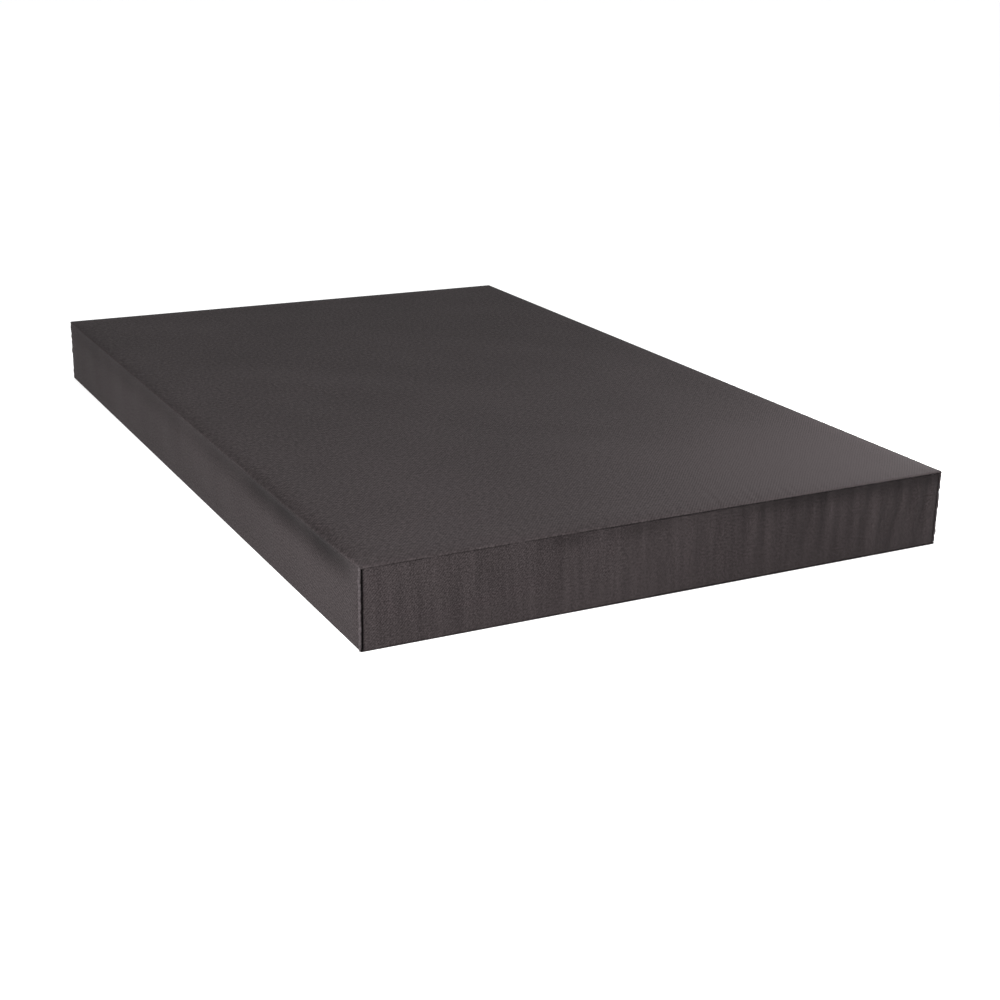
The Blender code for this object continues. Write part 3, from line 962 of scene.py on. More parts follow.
    def rear(self, x: Array, height: Array) -> Array:
        """How far the rear border is moved out: slow waves and light flutes."""
        belly = np.sin(np.pi * np.clip(height, 0, 1))
        slow = 0.6 * MM * (waves(x, (0.23, 0.14, 0.09), 41) + 0.5 * waves(x, (0.035, 0.05), 43))
        return belly * (slow + self.settled.out("rear", height * self.size.height, x))


@dataclass
class Cover:
    """The twill cover: two panels, the borders between them, and the pinched corner seams."""

    size: Size
    finishes: Finishes
    relief: Relief
    cloth: float = 1.0 * MM
    roll: Roll = Roll()
    foot: Roll = Roll(2.0 * MM, 2.6 * MM)
    flat_step: float = 6.2 * MM
    far_step: float = 11.0 * MM
    near_step: float = 3.6 * MM
    near_zone: float = 0.065
    side_step: float = 2.6 * MM
    side_zone: float = 0.024

    def build(self) -> None:
        """Makes every piece of the cover."""
        self.panel("top_panel", "cover_top", 1)
        self.panel("bottom_panel", "cover_bottom", -1)
        self.long_border()
        self.end_border("front_border", "border_front", -1)
        self.end_border("rear_border", "border_rear", 1)
        for end, side_y in (("front", -1), ("rear", 1)):
            for side, side_x in (("left", -1), ("right", 1)):
                self.corner(f"corner_seam_{end}_{side}", side_x, side_y)

    def panel_lines(self, roll: Roll) -> tuple[Array, Array]:
        """The flat field's lines: closer near the edges than in the middle."""
        x = self.size.half_x - roll.radius
        y = self.size.half_y - roll.radius
        sides = lines(-x, self.side_zone - x, self.side_step)
        across = np.concatenate([sides, lines(sides[-1], -sides[-1], self.flat_step)[1:-1], -sides[::-1]])
        ends = lines(-y, self.near_zone - y, self.near_step)
        along = np.concatenate([ends, lines(ends[-1], -ends[-1], self.far_step)[1:-1], -ends[::-1]])
        return across, along

    def panel_grid(self, roll: Roll) -> tuple[Array, Array, Array, Array, Array]:
        """A tray: lines that roll down at all four sides, and mitred corners, because a point lies on the
        lower of its two rolls. The seam rows are drawn in by the relief's seam depth.

        Args:
            roll: the shape of its edges.

        Returns:
            x, y and depth below the face on the whole grid, the cloth's own coordinates, and how much shade is
            painted at each point in the seam's tuck.
        """
        insets, depths = roll.insets(), roll.depths()
        laid = np.concatenate([[0], np.cumsum(np.hypot(np.diff(insets), np.diff(depths)))])
        laid = laid[:-1] - laid[-1]
        pull = np.zeros(len(insets))
        pull[:2] = 1.0, 0.3

        def whole(flat: Array, half: float) -> tuple[Array, Array, Array]:
            """Places, cloth coordinates and ring numbers along one axis."""
            place = np.concatenate([insets[:-1] - half, flat, (half - insets[:-1])[::-1]])
            cloth = np.concatenate([flat[0] + laid, flat, (flat[-1] - laid)[::-1]])
            count = len(place)
            ring = np.minimum(np.arange(count), count - 1 - np.arange(count))
            return place, cloth, np.minimum(ring, len(insets) - 1)

        across, along = self.panel_lines(roll)
        x, cloth_x, ring_x = whole(across, self.size.half_x)
        y, cloth_y, ring_y = whole(along, self.size.half_y)
        ring = np.minimum(ring_y[:, None], ring_x[None, :])
        grid_x, grid_y = np.meshgrid(x, y)
        depth = self.relief.seam(grid_x, grid_y)
        drawn_x = grid_x - np.sign(grid_x) * depth * pull[ring_x][None, :]
        drawn_y = grid_y - np.sign(grid_y) * depth * pull[ring_y][:, None]
        cloth_grid = np.stack(np.meshgrid(cloth_x, cloth_y), axis=-1)
        # the last value is painted shade in the seam's tuck
        return drawn_x, drawn_y, depths[ring], cloth_grid, pull[ring] * np.clip(depth / MM - 0.3, 0, 1)

    def panel(self, name: str, node: str, side: int) -> None:
        """The top (side 1) or bottom (side -1) panel, whole across the fold."""
        x, y, depth, uv, fold = self.panel_grid(self.roll if side > 0 else self.foot)
        if side > 0:
            z = self.size.height - depth + self.relief.top(x, y)
            points = np.stack([x, y, z], axis=-1)
            # painted shade in the seam's tuck, and elsewhere the top's painted highlight and painted shade
            fold = np.where(fold > 0, fold, self.relief.shade_top(x, y))
        else:
            points = np.stack([x, y, depth], axis=-1)[:, ::-1]
            uv, fold = uv[:, ::-1], fold[:, ::-1]
        piece = cloth_sheet(name, points, uv, self.cloth, fold)
        self.place(piece, [f"{node}_seat", f"{node}_back"], Slot.TWILL, None)

    def border_heights(self) -> tuple[Array, Array]:
        """The border's rows from the lower seam to the upper: heights, and shares of the seam's depth."""
        away = np.array([0.0, 0.9, 2.2, 4.2, 7.5]) * MM
        pull = np.array([1.0, 0.45, 0.15, 0.03, 0.0])
        low, high = self.foot.drop, self.size.height - self.roll.drop
        middle = lines(low + away[-1], high - away[-1], 4.2 * MM)[1:-1]
        z = np.concatenate([low + away, middle, high - away[::-1]])
        return z, np.concatenate([pull, np.zeros(len(middle)), pull[::-1]])

    def border(self, name: str, plan: Array, outward: Array, along: Array,
               bulge: Callable[[Array, Array], Array], ends: Array, groove: Array,
               shade: Callable[[Array, Array], Array] | None = None) -> bpy.types.Object:
        """A border: a plan line carried up its rows, drawn in at both seams and moved out by its relief.

        Args:
            name: the piece's name.
            plan: columns by 2, the border's line on the floor.
            outward: columns by 2, the way out at each column.
            along: the coordinate along the border that the relief reads.
            bulge: the relief, from the coordinate along and the height from 0 to 1.
            ends: how much of the relief each column takes, 0 at its ends.
            groove: how much shade is painted in the corner's groove at each column.
            shade: where shade is painted on it, from the same two as its relief.

        Returns:
            The piece.
        """
        z, pull = self.border_heights()
        height = (z - z[0]) / (z[-1] - z[0])
        depth = self.relief.seam(plan[:, 0], plan[:, 1])
        away = np.minimum(height, 1 - height)[:, None]
        relief = bulge(along[None, :], height[:, None]) * ends[None, :] * smooth(away, 0, 0.04)
        out = relief - pull[:, None] * depth[None, :]
        flat = plan[None, :, :] + outward[None, :, :] * out[:, :, None]
        lift = self.relief.top(plan[:, 0], plan[:, 1])[None, :] * smooth(height, 0.55, 1.0)[:, None]
        points = np.concatenate([flat, (z[:, None] + lift)[:, :, None]], axis=2)
        run = np.concatenate([[0], np.cumsum(np.linalg.norm(np.diff(plan, axis=0), axis=1))])
        uv = np.stack(np.meshgrid(run, z), axis=-1)
        # painted shade: in the seams' tucks, in the corner's groove, and where shade gives it
        fold = np.maximum(pull[:, None] * np.clip(depth / MM - 0.3, 0, 1)[None, :], groove[None, :])
        if shade is not None:
            fold = np.maximum(fold, shade(along[None, :], height[:, None]))
        return cloth_sheet(name, points, uv, self.cloth, fold)

    def long_border(self) -> None:
        """The left border. At both ends it wraps a little round the corner, to the pinched seam."""
        radius = 2.2 * MM
        angle = np.radians([0, 30, 60, 90])
        round_in = radius * (1 - np.cos(angle))
        round_back = radius * (1 - np.sin(angle)) + 2.4 * MM
        half = self.size.half_y
        run = lines(-half + 8 * MM, half - 8 * MM, 8 * MM)
        y = np.concatenate([-half + round_back[::-1], run, (half - round_back)])
        inset = np.concatenate([round_in[::-1], np.zeros(len(run)), round_in])
        plan = np.stack([-self.size.half_x + inset, y], axis=1)[::-1]
        outward = np.tile([-1.0, 0.0], (len(plan), 1))
        ends = smooth(half - np.abs(plan[:, 1]), 4 * MM, 25 * MM)
        groove = np.zeros(len(plan))
        piece = self.border("left_border", plan, outward, plan[:, 1], self.relief.left, ends, groove,
                            self.relief.shade_left)
        self.place(piece, ["border_left"], Trim.PLAIN, Body.SEAT)

    def end_border(self, name: str, node: str, side: int) -> None:
        """The front (side -1) or rear (side 1) border, whole across the fold, which dives into a groove
        beside each corner seam."""
        back = np.array([4.6, 4.7, 5.0, 5.6, 6.6, 8.2, 10.6]) * MM
        dive = np.array([9.5, 6.6, 4.0, 2.1, 0.95, 0.35, 0.08]) * MM
        # painted shade, darkest deep in the groove beside each corner seam
        dark = np.array([1.0, 1.0, 0.75, 0.45, 0.2, 0.06, 0.0])
        half = self.size.half_x
        run = lines(-half + 14 * MM, half - 14 * MM, 5.0 * MM)
        x = np.concatenate([-half + back, run, (half - back)[::-1]])
        inset = np.concatenate([dive, np.zeros(len(run)), dive[::-1]])
        groove = np.concatenate([dark, np.zeros(len(run)), dark[::-1]])
        plan = np.stack([x, side * (self.size.half_y - inset)], axis=1)
        if side > 0:
            plan = plan[::-1]
        outward = np.tile([0.0, float(side)], (len(plan), 1))
        ends = smooth(half - np.abs(plan[:, 0]), 7 * MM, 25 * MM)
        bulge = self.relief.front if side < 0 else self.relief.rear
        shade = self.relief.shade_front if side < 0 else None
        piece = self.border(name, plan, outward, plan[:, 0], bulge, ends, groove, shade)
        self.place(piece, [f"{node}_seat", f"{node}_back"], Trim.BORDER, None)

    def corner(self, node: str, side_x: int, side_y: int) -> None:
        """A pinched corner seam: an oval fin of folded cloth that wanders a little as it climbs. Its section
        is an ellipse, whose width and place follow slow sines of the height, and it ends in a small ear at
        the top."""
        near = side_x < 0 and side_y < 0
        z = lines(1.0 * MM, self.size.height - (0.2 if near else 2.0) * MM, 2.5 * MM)
        turn = np.linspace(0, 2 * np.pi, 17)[:-1]
        seed = 50 + 2 * side_x + side_y
        wander = 0.50 * MM * waves(z, (0.031, 0.018, 0.055), seed)
        swell = 1 + 0.14 * waves(z, (0.013, 0.022), seed + 7)
        share = (z - z[0]) / (z[-1] - z[0])
        taper = np.sqrt(np.clip(1 - (2 * share - 1) ** 20, 0.08, 1))
        wide = (1.9 if near else 1.5) * MM * (swell * taper)[:, None]
        deep = 3.4 * MM * (swell * taper)[:, None]
        x_in = ((-1.0 if near else 1.3) * MM + wander)[:, None] + wide * np.cos(turn)[None, :]
        y_in = (2.0 if near else 3.2) * MM + 0.3 * wander[:, None] + deep * np.sin(turn)[None, :]
        lift = self.relief.top(np.array([side_x * self.size.half_x]), np.array([side_y * self.size.half_y]))
        height = np.broadcast_to((z + lift * smooth(share, 0.55, 1.0))[:, None], x_in.shape)
        tube = np.stack([side_x * (self.size.half_x - x_in), side_y * (self.size.half_y - y_in), height],
                        axis=-1)
        uv = np.stack(np.meshgrid(turn * 2 * MM, z), axis=-1)
        piece = closed_tube(f"{node}_fin", tube, uv, flip=side_x * side_y > 0)
        self.place(piece, [node], Slot.SEAM, Body.SEAT if side_x < 0 else Body.BACK)

    def place(self, piece: bpy.types.Object, nodes: list[str], slot: Slot | Trim, body: Body | None) -> None:
        """Dresses a piece and fastens it to its body, or bakes its transform into it where it has none."""
        settle(piece, nodes, slot, self.finishes, body)


def closed_tube(name: str, tube: Array, uv: Array, flip: bool = False) -> bpy.types.Object:
    """A tube of rings closed by a point at each end.

    Args:
        name: the piece's name.
        tube: rings by points by 3.
        uv: rings by points by 2.
        flip: whether the rings run the other way round.

    Returns:
        The object.
    """
    rings, points = tube.shape[:2]
    index = np.arange(rings * points).reshape(rings, points)
    after = np.roll(index, -1, axis=1)
    sides = np.stack([index[:-1], after[:-1], after[1:], index[1:]], axis=-1).reshape(-1, 4)
    first, last = rings * points, rings * points + 1
    low = np.stack([np.full(points, first), after[0], index[0]], axis=1)
    high = np.stack([np.full(points, last), index[-1], after[-1]], axis=1)
    faces = np.concatenate([sides[:, [0, 1, 2]], sides[:, [0, 2, 3]], low, high])
    if flip:
        faces = faces[:, ::-1]
    ends = np.stack([tube[0].mean(axis=0), tube[-1].mean(axis=0)])
    ends_uv = np.stack([uv[0].mean(axis=0), uv[-1].mean(axis=0)])
    places = np.concatenate([tube.reshape(-1, 3), ends])
    return make_mesh(name, places, faces, np.concatenate([uv.reshape(-1, 2), ends_uv]))


def settle(piece: bpy.types.Object, nodes: Iterable[str], slot: Slot | Trim, finishes: Finishes,
           body: Body | None) -> None:
    """Dresses a piece, says which nodes it stands for, and rides it on a body, or bakes its transform into it
    where it crosses the fold.

    Args:
        piece: the finished object.
        nodes: the frame's nodes that it stands for.
        slot: its material slot.
        finishes: the materials.
        body: the body that it rides on, or None where it crosses the fold.
    """
    piece.data.materials.append(finishes[slot])
    nodes = list(nodes)
    if nodes:
        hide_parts(*nodes)
    if body is None:
        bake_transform(piece)
    else:
        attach(piece, body.value)
    LOG.info("%s: %d faces, for %s", piece.name, len(piece.data.polygons), ", ".join(nodes) or "nothing")


@dataclass
class ZipSide:
    """The side with the zip: two borders folded back along it, tapes, coils, slider, pull, stops and
    label."""

    size: Size
    finishes: Finishes
    cover: Cover
    stitch_pitch: float = 4.2 * MM
    stitch_length: float = 3.0 * MM
    tooth_pitch: float = 1.9 * MM
    coil_gap: float = 0.6 * MM
    seam_rows: int = 4
    folded_rows: int = 7

    def build(self) -> None:
        """Makes every piece of the side."""
        for part, side in (("upper", 1), ("lower", -1)):
            self.border(part, side)
            self.stitches(part, side)
            self.tape(part, side)
            self.teeth(part, side)
        self.slider()
        self.pull()
        self.stop("closed")
        self.stop("open")
        self.label()

    def line(self) -> tuple[Array, Array]:
        """The upper border's section, from its seam down to the fold beside the zip and a little way back up
        behind: distances above the middle, and x."""
        face = self.size.half_x - 0.4 * MM
        edge_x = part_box("zip_border_upper")[0].x + 1.6 * MM
        top = self.size.height - self.cover.roll.drop - self.size.middle
        fold = 4.5 * MM
        above = np.array([top, top - 1.3 * MM, top - 3.2 * MM, top - 6.5 * MM])
        inset = np.array([1.0, 0.42, 0.16, 0.04]) * 0.8 * MM
        down = lines(above[-1] - 4 * MM, fold + 2.2 * MM, 3.2 * MM)
        valley = 1 - smooth(down, fold, fold + 26 * MM)
        down_x = face - (face - edge_x) * valley**1.4
        turn = np.radians([20, 60, 100, 140, 180])
        fold_z = fold + 0.7 * MM - 0.7 * MM * np.sin(turn)
        fold_x = edge_x - 0.6 * MM * (1 - np.cos(turn)) * 0.5
        back_z = np.array([fold + 3 * MM, fold + 7 * MM])
        back_x = np.array([1.0, 1.0]) * (edge_x - 0.75 * MM)
        z = np.concatenate([above, down, fold_z, back_z])
        x = np.concatenate([face - inset, down_x, fold_x, back_x])
        return z, x

    def flutes(self, run: Array, height: Array, side: int) -> Array:
        """How far a zip border stands out: slow sines along it, fullest half way up."""
        return 0.5 * MM * waves(run, (0.19, 0.12, 0.07), 61 + side) * np.sin(np.pi * np.clip(height, 0, 1))

    def face_at(self, run: Array, away: Array, side: int) -> Array:
        """The zip border's outer face: x at these places along the side and distances from its middle."""
        z, x = self.line()
        front = slice(None, len(z) - self.folded_rows)
        return np.interp(away, z[front][::-1], x[front][::-1]) + self.flutes(run, away / z[0], side)

    def border(self, part: str, side: int) -> None:
        """A zip border: its section carried along the side, drawn in a little between the zip's stitches.
        Beyond the zip's ends its fold comes down to meet the other border's, and the valley fills up to the
        face."""
        z, x = self.line()
        end = self.size.half_y - 2.8 * MM
        run = lines(-end, end, 6 * MM)
        height = np.clip(z / z[0], 0, 1)
        flutes = self.flutes(run[None, :], height[:, None], side)
        ends = 1 - smooth(self.size.half_y - np.abs(run), 2 * MM, 12 * MM)
        face = self.size.half_x - 0.4 * MM
        folded = len(x) - self.folded_rows
        level = np.where(np.arange(len(x)) < self.seam_rows, x, face)
        level[folded:] = face + x[folded:] - x[folded - 1]
        zip_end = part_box("zip_tape_upper")[1].y
        filled = smooth(np.abs(run), zip_end - 2 * MM, zip_end + 40 * MM)[None, :]
        grid_x = x[:, None] + (level - x)[:, None] * filled
        grid_x = grid_x + flutes - 2.2 * MM * ends[None, :] * np.maximum(height, 0.35)[:, None] ** 0.3
        closing = smooth(np.abs(run), zip_end - 14 * MM, zip_end - 3 * MM)[None, :]
        grid_z = z[:, None] - 4.35 * MM * closing * (1 - smooth(z, 5 * MM, 40 * MM))[:, None]
        if side > 0:
            sag = self.cover.relief.top(np.full(len(run), self.size.half_x), run)
            grid_z += sag[None, :] * smooth(height, 0.55, 1.0)[:, None]
        else:
            grid_z += (self.cover.roll.drop - self.cover.foot.drop) * smooth(height, 0.3, 1.0)[:, None]
        grid_y = np.broadcast_to(run[None, :], grid_x.shape)
        points = np.stack([grid_x, grid_y, self.size.middle + side * grid_z], axis=-1)
        laid = np.concatenate([[0], np.cumsum(np.hypot(np.diff(x), np.diff(z)))])
        uv = np.stack(np.meshgrid(run, side * laid), axis=-1)
        if side > 0:
            points, uv = points[::-1], uv[::-1]
        piece = cloth_sheet(f"{part}_zip_border", points, uv, 0.45 * MM)
        settle(piece, [f"zip_border_{part}"], Trim.BORDER, self.finishes, Body.BACK)

    def stitches(self, part: str, side: int) -> None:
        """A row of topstitches beside the fold: small capsules on the border, one for each turn of the
        needle."""
        place = 9.0 * MM
        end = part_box("zip_tape_upper")[1].y - 16 * MM
        middles = np.arange(-end, end, self.stitch_pitch)
        slant = waves(middles, (0.021, 0.034), 71 + side) * 0.12 * MM
        across = np.linspace(0, 2 * np.pi, 7)[:-1]
        along = np.array([-1.0, -0.85, -0.4, 0.4, 0.85, 1.0])
        girth = 0.34 * MM * np.array([0.15, 0.7, 1.0, 1.0, 0.7, 0.15])
        ring = np.stack([
            girth[:, None] * np.cos(across)[None, :],
            np.broadcast_to((along * self.stitch_length / 2)[:, None], (6, 6)),
            girth[:, None] * np.sin(across)[None, :],
        ], axis=-1)
        face = self.face_at(middles, np.full(len(middles), place), side) + 0.15 * MM
        base = np.stack([face, middles, self.size.middle + side * (place + slant)], axis=1)
        repeat(f"{part}_topstitch", ring, base, Slot.SEAM, self.finishes, [])

    def tape(self, part: str, side: int) -> None:
        """A woven tape with a thicker selvedge beside the coil and a slight wave along it."""
        low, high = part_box(f"zip_tape_{part}")
        width = high.z - low.z
        across = lines(0, width, 1.5 * MM)
        run = lines(low.y, high.y, 9 * MM)
        lift = 0.12 * MM * waves(run, (0.11, 0.07), 81 + side)[None, :] * (across / width)[:, None]
        grid_x = high.x + lift + 0.1 * MM * hump(across, 3 * MM, 1.2 * MM)[:, None]
        grid_z = np.broadcast_to(self.size.middle + side * (self.coil_gap + across)[:, None], grid_x.shape)
        grid_y = np.broadcast_to(run[None, :], grid_x.shape)
        points = np.stack([grid_x, grid_y, grid_z], axis=-1)
        uv = np.stack(np.meshgrid(run, across), axis=-1)
        if side < 0:
            points, uv = points[::-1], uv[::-1]
        piece = cloth_sheet(f"{part}_tape", points, uv, high.x - low.x)
        settle(piece, [f"zip_tape_{part}"], Slot.TAPE, self.finishes, Body.BACK)

    def teeth(self, part: str, side: int) -> None:
        """A coil: one flat loop of nylon for each tooth. The loop's line is a squeezed circle across the tape
        with a thicker head at the middle, where it meets the other coil's loops, which stand half a pitch
        away."""
        low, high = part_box(f"zip_coil_{part}")
        turn = np.linspace(0, 2 * np.pi, 11)[:-1]
        section = np.linspace(0, 2 * np.pi, 6)[:-1]
        reach = high.z - low.z
        head = 0.55 * MM
        middle_z = (reach + head) / 2 - head
        across = (reach + head) / 2 - 0.3 * MM
        rise = (high.x - low.x) / 2 - 0.3 * MM
        line_z = middle_z + across * np.cos(turn)
        line_x = rise * np.sin(turn)
        thick = 0.30 * MM + 0.10 * MM * hump(turn, np.pi, 0.5)
        out_z, out_x = np.cos(turn), np.sin(turn)
        ring_x = line_x[:, None] + thick[:, None] * np.cos(section)[None, :] * out_x[:, None]
        ring_z = line_z[:, None] + thick[:, None] * np.cos(section)[None, :] * out_z[:, None]
        ring_y = 1.15 * thick[:, None] * np.sin(section)[None, :]
        ring = np.stack([ring_x, ring_y, side * ring_z], axis=-1)
        start = low.y + self.tooth_pitch * (0.5 if side > 0 else 1.0)
        middles = np.arange(start, high.y - self.tooth_pitch / 2, self.tooth_pitch)
        level = self.size.middle + side * self.coil_gap
        ones = np.ones(len(middles))
        base = np.stack([(low.x + high.x) / 2 * ones, middles, level * ones], axis=1)
        repeat(f"{part}_teeth", ring, base, Slot.COIL, self.finishes, [f"zip_coil_{part}"],
               loop=True, flip=side < 0)

    def plate_outline(self, half_y: float, half_z: float, nose: float, count: int = 40) -> Array:
        """A slider's outline: a rounded rectangle whose nose is narrower. In polar form, a superellipse of
        power 4 whose width falls by the nose's share towards +Y."""
        turn = np.linspace(0, 2 * np.pi, count + 1)[:-1]
        y = half_y * np.sign(np.cos(turn)) * np.abs(np.cos(turn)) ** 0.5
        z = half_z * np.sign(np.sin(turn)) * np.abs(np.sin(turn)) ** 0.5
        return np.stack([y, z * (1 - nose * smooth(-y, 0, half_y))], axis=1)

    def slider(self) -> None:
        """The slider: two dished plates with rolled rims, a post between the coils and an arch for the
        pull."""
        low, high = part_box("zip_slider")
        middle_y = (low.y + high.y) / 2
        half_y = (high.y - low.y) / 2
        half_z = (high.z - low.z) / 2
        outline = self.plate_outline(half_y, half_z, 0.25)
        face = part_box("zip_coil_upper")[1].x
        parts = [
            (face + 0.25 * MM, face + 1.25 * MM, outline, 0.3 * MM),
            (low.x, low.x + 0.9 * MM, outline, 0.25 * MM),
        ]
        points: list[Array] = []
        faces: list[Array] = []
        count = 0
        for back, front, shape, edge in parts:
            body, body_faces = self.pressed_plate(shape, back, front, edge)
            points.append(body)
            faces.append(body_faces + count)
            count += len(body)
        for body, body_faces in self.slider_bars(face, high.x, half_y, half_z):
            points.append(body)
            faces.append(body_faces + count)
            count += len(body)
        whole = np.concatenate(points) + np.array([0, middle_y, self.size.middle])
        piece = make_mesh("slider_body", whole, np.concatenate(faces))
        sharpen(piece)
        settle(piece, ["zip_slider"], Slot.METAL, self.finishes, Body.SLIDER)

    def pressed_plate(self, outline: Array, back: float, front: float, edge: float) -> tuple[Array, Array]:
        """A plate with rounded edges: its outline at seven stations through its thickness, drawn in near both
        faces along a quarter circle, and a middle point on each face."""
        angle = np.radians([90, 60, 30, 0, 0, -30, -60, -90])
        inset = edge * (1 - np.cos(angle))
        level = np.where(np.arange(8) < 4, front - edge + edge * np.sin(angle),
                         back + edge + edge * np.sin(angle))
        scale = 1 - inset[:, None] / np.maximum(np.abs(outline).max(axis=0), 1e-9)[None, :]
        rings = outline[None, :, :] * scale[:, None, :]
        stations = np.broadcast_to(level[:, None, None], rings.shape[:2] + (1,))
        body = np.concatenate([stations, rings], axis=2).reshape(-1, 3)
        count = len(outline)
        index = np.arange(8 * count).reshape(8, count)
        after = np.roll(index, -1, axis=1)
        sides = np.stack([index[:-1], index[1:], after[1:], after[:-1]], axis=-1).reshape(-1, 4)
        centres = np.array([[front, 0, 0], [back, 0, 0]])
        first, last = 8 * count, 8 * count + 1
        top = np.stack([np.full(count, first), index[0], after[0]], axis=1)
        bottom = np.stack([np.full(count, last), after[-1], index[-1]], axis=1)
        faces = np.concatenate([sides[:, [0, 1, 2]], sides[:, [0, 2, 3]], top, bottom])
        return np.concatenate([body, centres]), faces

    def slider_bars(self, face: float, top: float, half_y: float, half_z: float) -> list[tuple[Array, Array]]:
        """The slider's rims, its post and its arch, as plates on the same terms.

        Args:
            face: x of the coils' outer face.
            top: x of the arch's top.
            half_y: half the slider's length.
            half_z: half its width.

        Returns:
            Points and faces of each.
        """
        bars = []
        rim = self.plate_outline(half_y * 0.93, 0.42 * MM, 0.0, 16)
        for side in (-1, 1):
            body, faces = self.pressed_plate(rim, face - 1.3 * MM, face + 0.8 * MM, 0.15 * MM)
            body[:, 2] += side * (half_z - 0.45 * MM)
            bars.append((body, faces))
        post = self.plate_outline(1.7 * MM, 0.28 * MM, 0.0, 12)
        body, faces = self.pressed_plate(post, face - 3.0 * MM, face + 0.6 * MM, 0.1 * MM)
        body[:, 1] += half_y - 2.0 * MM
        bars.append((body, faces))
        turn = np.linspace(np.pi, 0, 13)
        reach = 2.9 * MM
        foot = face + 1.0 * MM
        rise = top - foot - 0.6 * MM
        arch_y = reach * np.sign(np.cos(turn)) * np.abs(np.cos(turn)) ** 0.6
        arch_x = foot + rise * np.abs(np.sin(turn)) ** 0.6
        section = np.linspace(0, 2 * np.pi, 9)[:-1]
        flat = np.stack([np.gradient(arch_x), np.gradient(arch_y)], axis=1)
        flat /= np.linalg.norm(flat, axis=1, keepdims=True)
        out_x, out_y = flat[:, 1], -flat[:, 0]
        x = arch_x[:, None] + 0.5 * MM * np.cos(section)[None, :] * out_x[:, None]
        y = arch_y[:, None] + 0.5 * MM * np.cos(section)[None, :] * out_y[:, None]
        z = np.broadcast_to(0.8 * MM * np.sin(section)[None, :], x.shape)
        tube = np.stack([x, y, z], axis=-1)
        rings, count = tube.shape[:2]
        index = np.arange(rings * count).reshape(rings, count)
        after = np.roll(index, -1, axis=1)
        sides = np.stack([index[:-1], index[1:], after[1:], after[:-1]], axis=-1).reshape(-1, 4)
        caps = [np.stack([np.full(count - 2, row[0]), row[1:-1], row[2:]], axis=1)
                for row in (index[0], index[-1][::-1])]
        faces = np.concatenate([sides[:, [0, 1, 2]], sides[:, [0, 2, 3]], *caps])
        bars.append((tube.reshape(-1, 3), faces))
        return bars

    def pull(self) -> None:
        """The pull tab: a tapered plate with a round tip and a long eye, between two rings of the same number
        of points, so that the plate is a band from its outline to the eye's."""
        low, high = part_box("zip_pull")
        hinge = high.y - 0.5 * MM
        length = high.y - low.y
        turn = np.linspace(0, 2 * np.pi, 49)[:-1]
        half = (high.z - low.z) / 2
        y = -length / 2 + 0.5 * MM + length / 2 * np.sign(np.cos(turn)) * np.abs(np.cos(turn)) ** 0.45
        z = half * np.sign(np.sin(turn)) * np.abs(np.sin(turn)) ** 0.55
        z = z * (0.80 + 0.20 * smooth(-y, 0.006, 0.022))
        outer = np.stack([y, z], axis=1)
        eye_y = -3.75 * MM + 3.2 * MM * np.sign(np.cos(turn)) * np.abs(np.cos(turn)) ** 0.6
        eye_z = 1.5 * MM * np.sign(np.sin(turn)) * np.abs(np.sin(turn)) ** 0.6
        eye = np.stack([eye_y, eye_z], axis=1)
        edge = 0.28 * MM
        outer_in = outer * (1 - edge / np.abs(outer).max(axis=0))
        middle = (low.x + high.x) / 2
        half_x = (high.x - low.x) / 2
        stations = (
            (eye * 1.06, half_x), (outer_in, half_x), (outer, half_x - edge), (outer, edge - half_x),
            (outer_in, -half_x), (eye * 1.06, -half_x), (eye, 0.12 * MM - half_x), (eye, half_x - 0.12 * MM),
        )
        rings = [np.column_stack([np.full(len(turn), middle + x), hinge + ring[:, 0],
                                  self.size.middle + ring[:, 1]])
                 for ring, x in stations]
        count = len(turn)
        index = np.arange(len(rings) * count).reshape(len(rings), count)
        below = np.roll(index, -1, axis=0)
        sides = np.stack([index, below, np.roll(below, -1, axis=1), np.roll(index, -1, axis=1)], axis=-1)
        piece = make_mesh("pull_tab", np.concatenate(rings), sides.reshape(-1, 4))
        sharpen(piece)
        settle(piece, ["zip_pull"], Slot.METAL, self.finishes, Body.PULL)

    def stop(self, which: str) -> None:
        """A stop: a small crimped clamp across both coils, with rounded edges and a waist."""
        low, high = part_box(f"zip_stop_{which}")
        half_y = (high.y - low.y) / 2
        half_z = (high.z - low.z) / 2
        outline = self.plate_outline(half_y, half_z, 0.0, 32)
        outline[:, 0] *= 1 - 0.12 * hump(outline[:, 1], 0, 1.2 * MM)
        body, faces = self.pressed_plate(outline, low.x, high.x, 0.35 * MM)
        piece = make_mesh(f"{which}_stop", body + np.array([0, (low.y + high.y) / 2, self.size.middle]),
                          faces)
        sharpen(piece)
        settle(piece, [f"zip_stop_{which}"], Slot.METAL, self.finishes, Body.BACK)

    def label(self) -> None:
        """The blank care label: a satin ribbon held along its lower edge, whose free edge stands off a
        little."""
        low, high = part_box("care_label")
        y = lines(low.y, high.y, 2.5 * MM)
        z = lines(low.z, high.z, 2.0 * MM)
        rise = ((z - low.z) / (high.z - low.z))[:, None]
        away = np.maximum(self.size.middle - z, 0)[:, None]
        face = self.face_at(y[None, :], away + 0 * y[None, :], -1)
        grid_x = face + 0.6 * MM + 0.9 * MM * rise**2 * (1 + 0.5 * waves(y, (0.03, 0.05), 91)[None, :])
        grid_y = np.broadcast_to(y[None, :], grid_x.shape)
        grid_z = np.broadcast_to(z[:, None], grid_x.shape)
        points = np.stack([grid_x, grid_y, grid_z], axis=-1)
        uv = np.stack(np.meshgrid(y, z), axis=-1)
        piece = cloth_sheet("blank_label", points, uv, 0.35 * MM)
        settle(piece, ["care_label"], Slot.LABEL, self.finishes, Body.BACK)


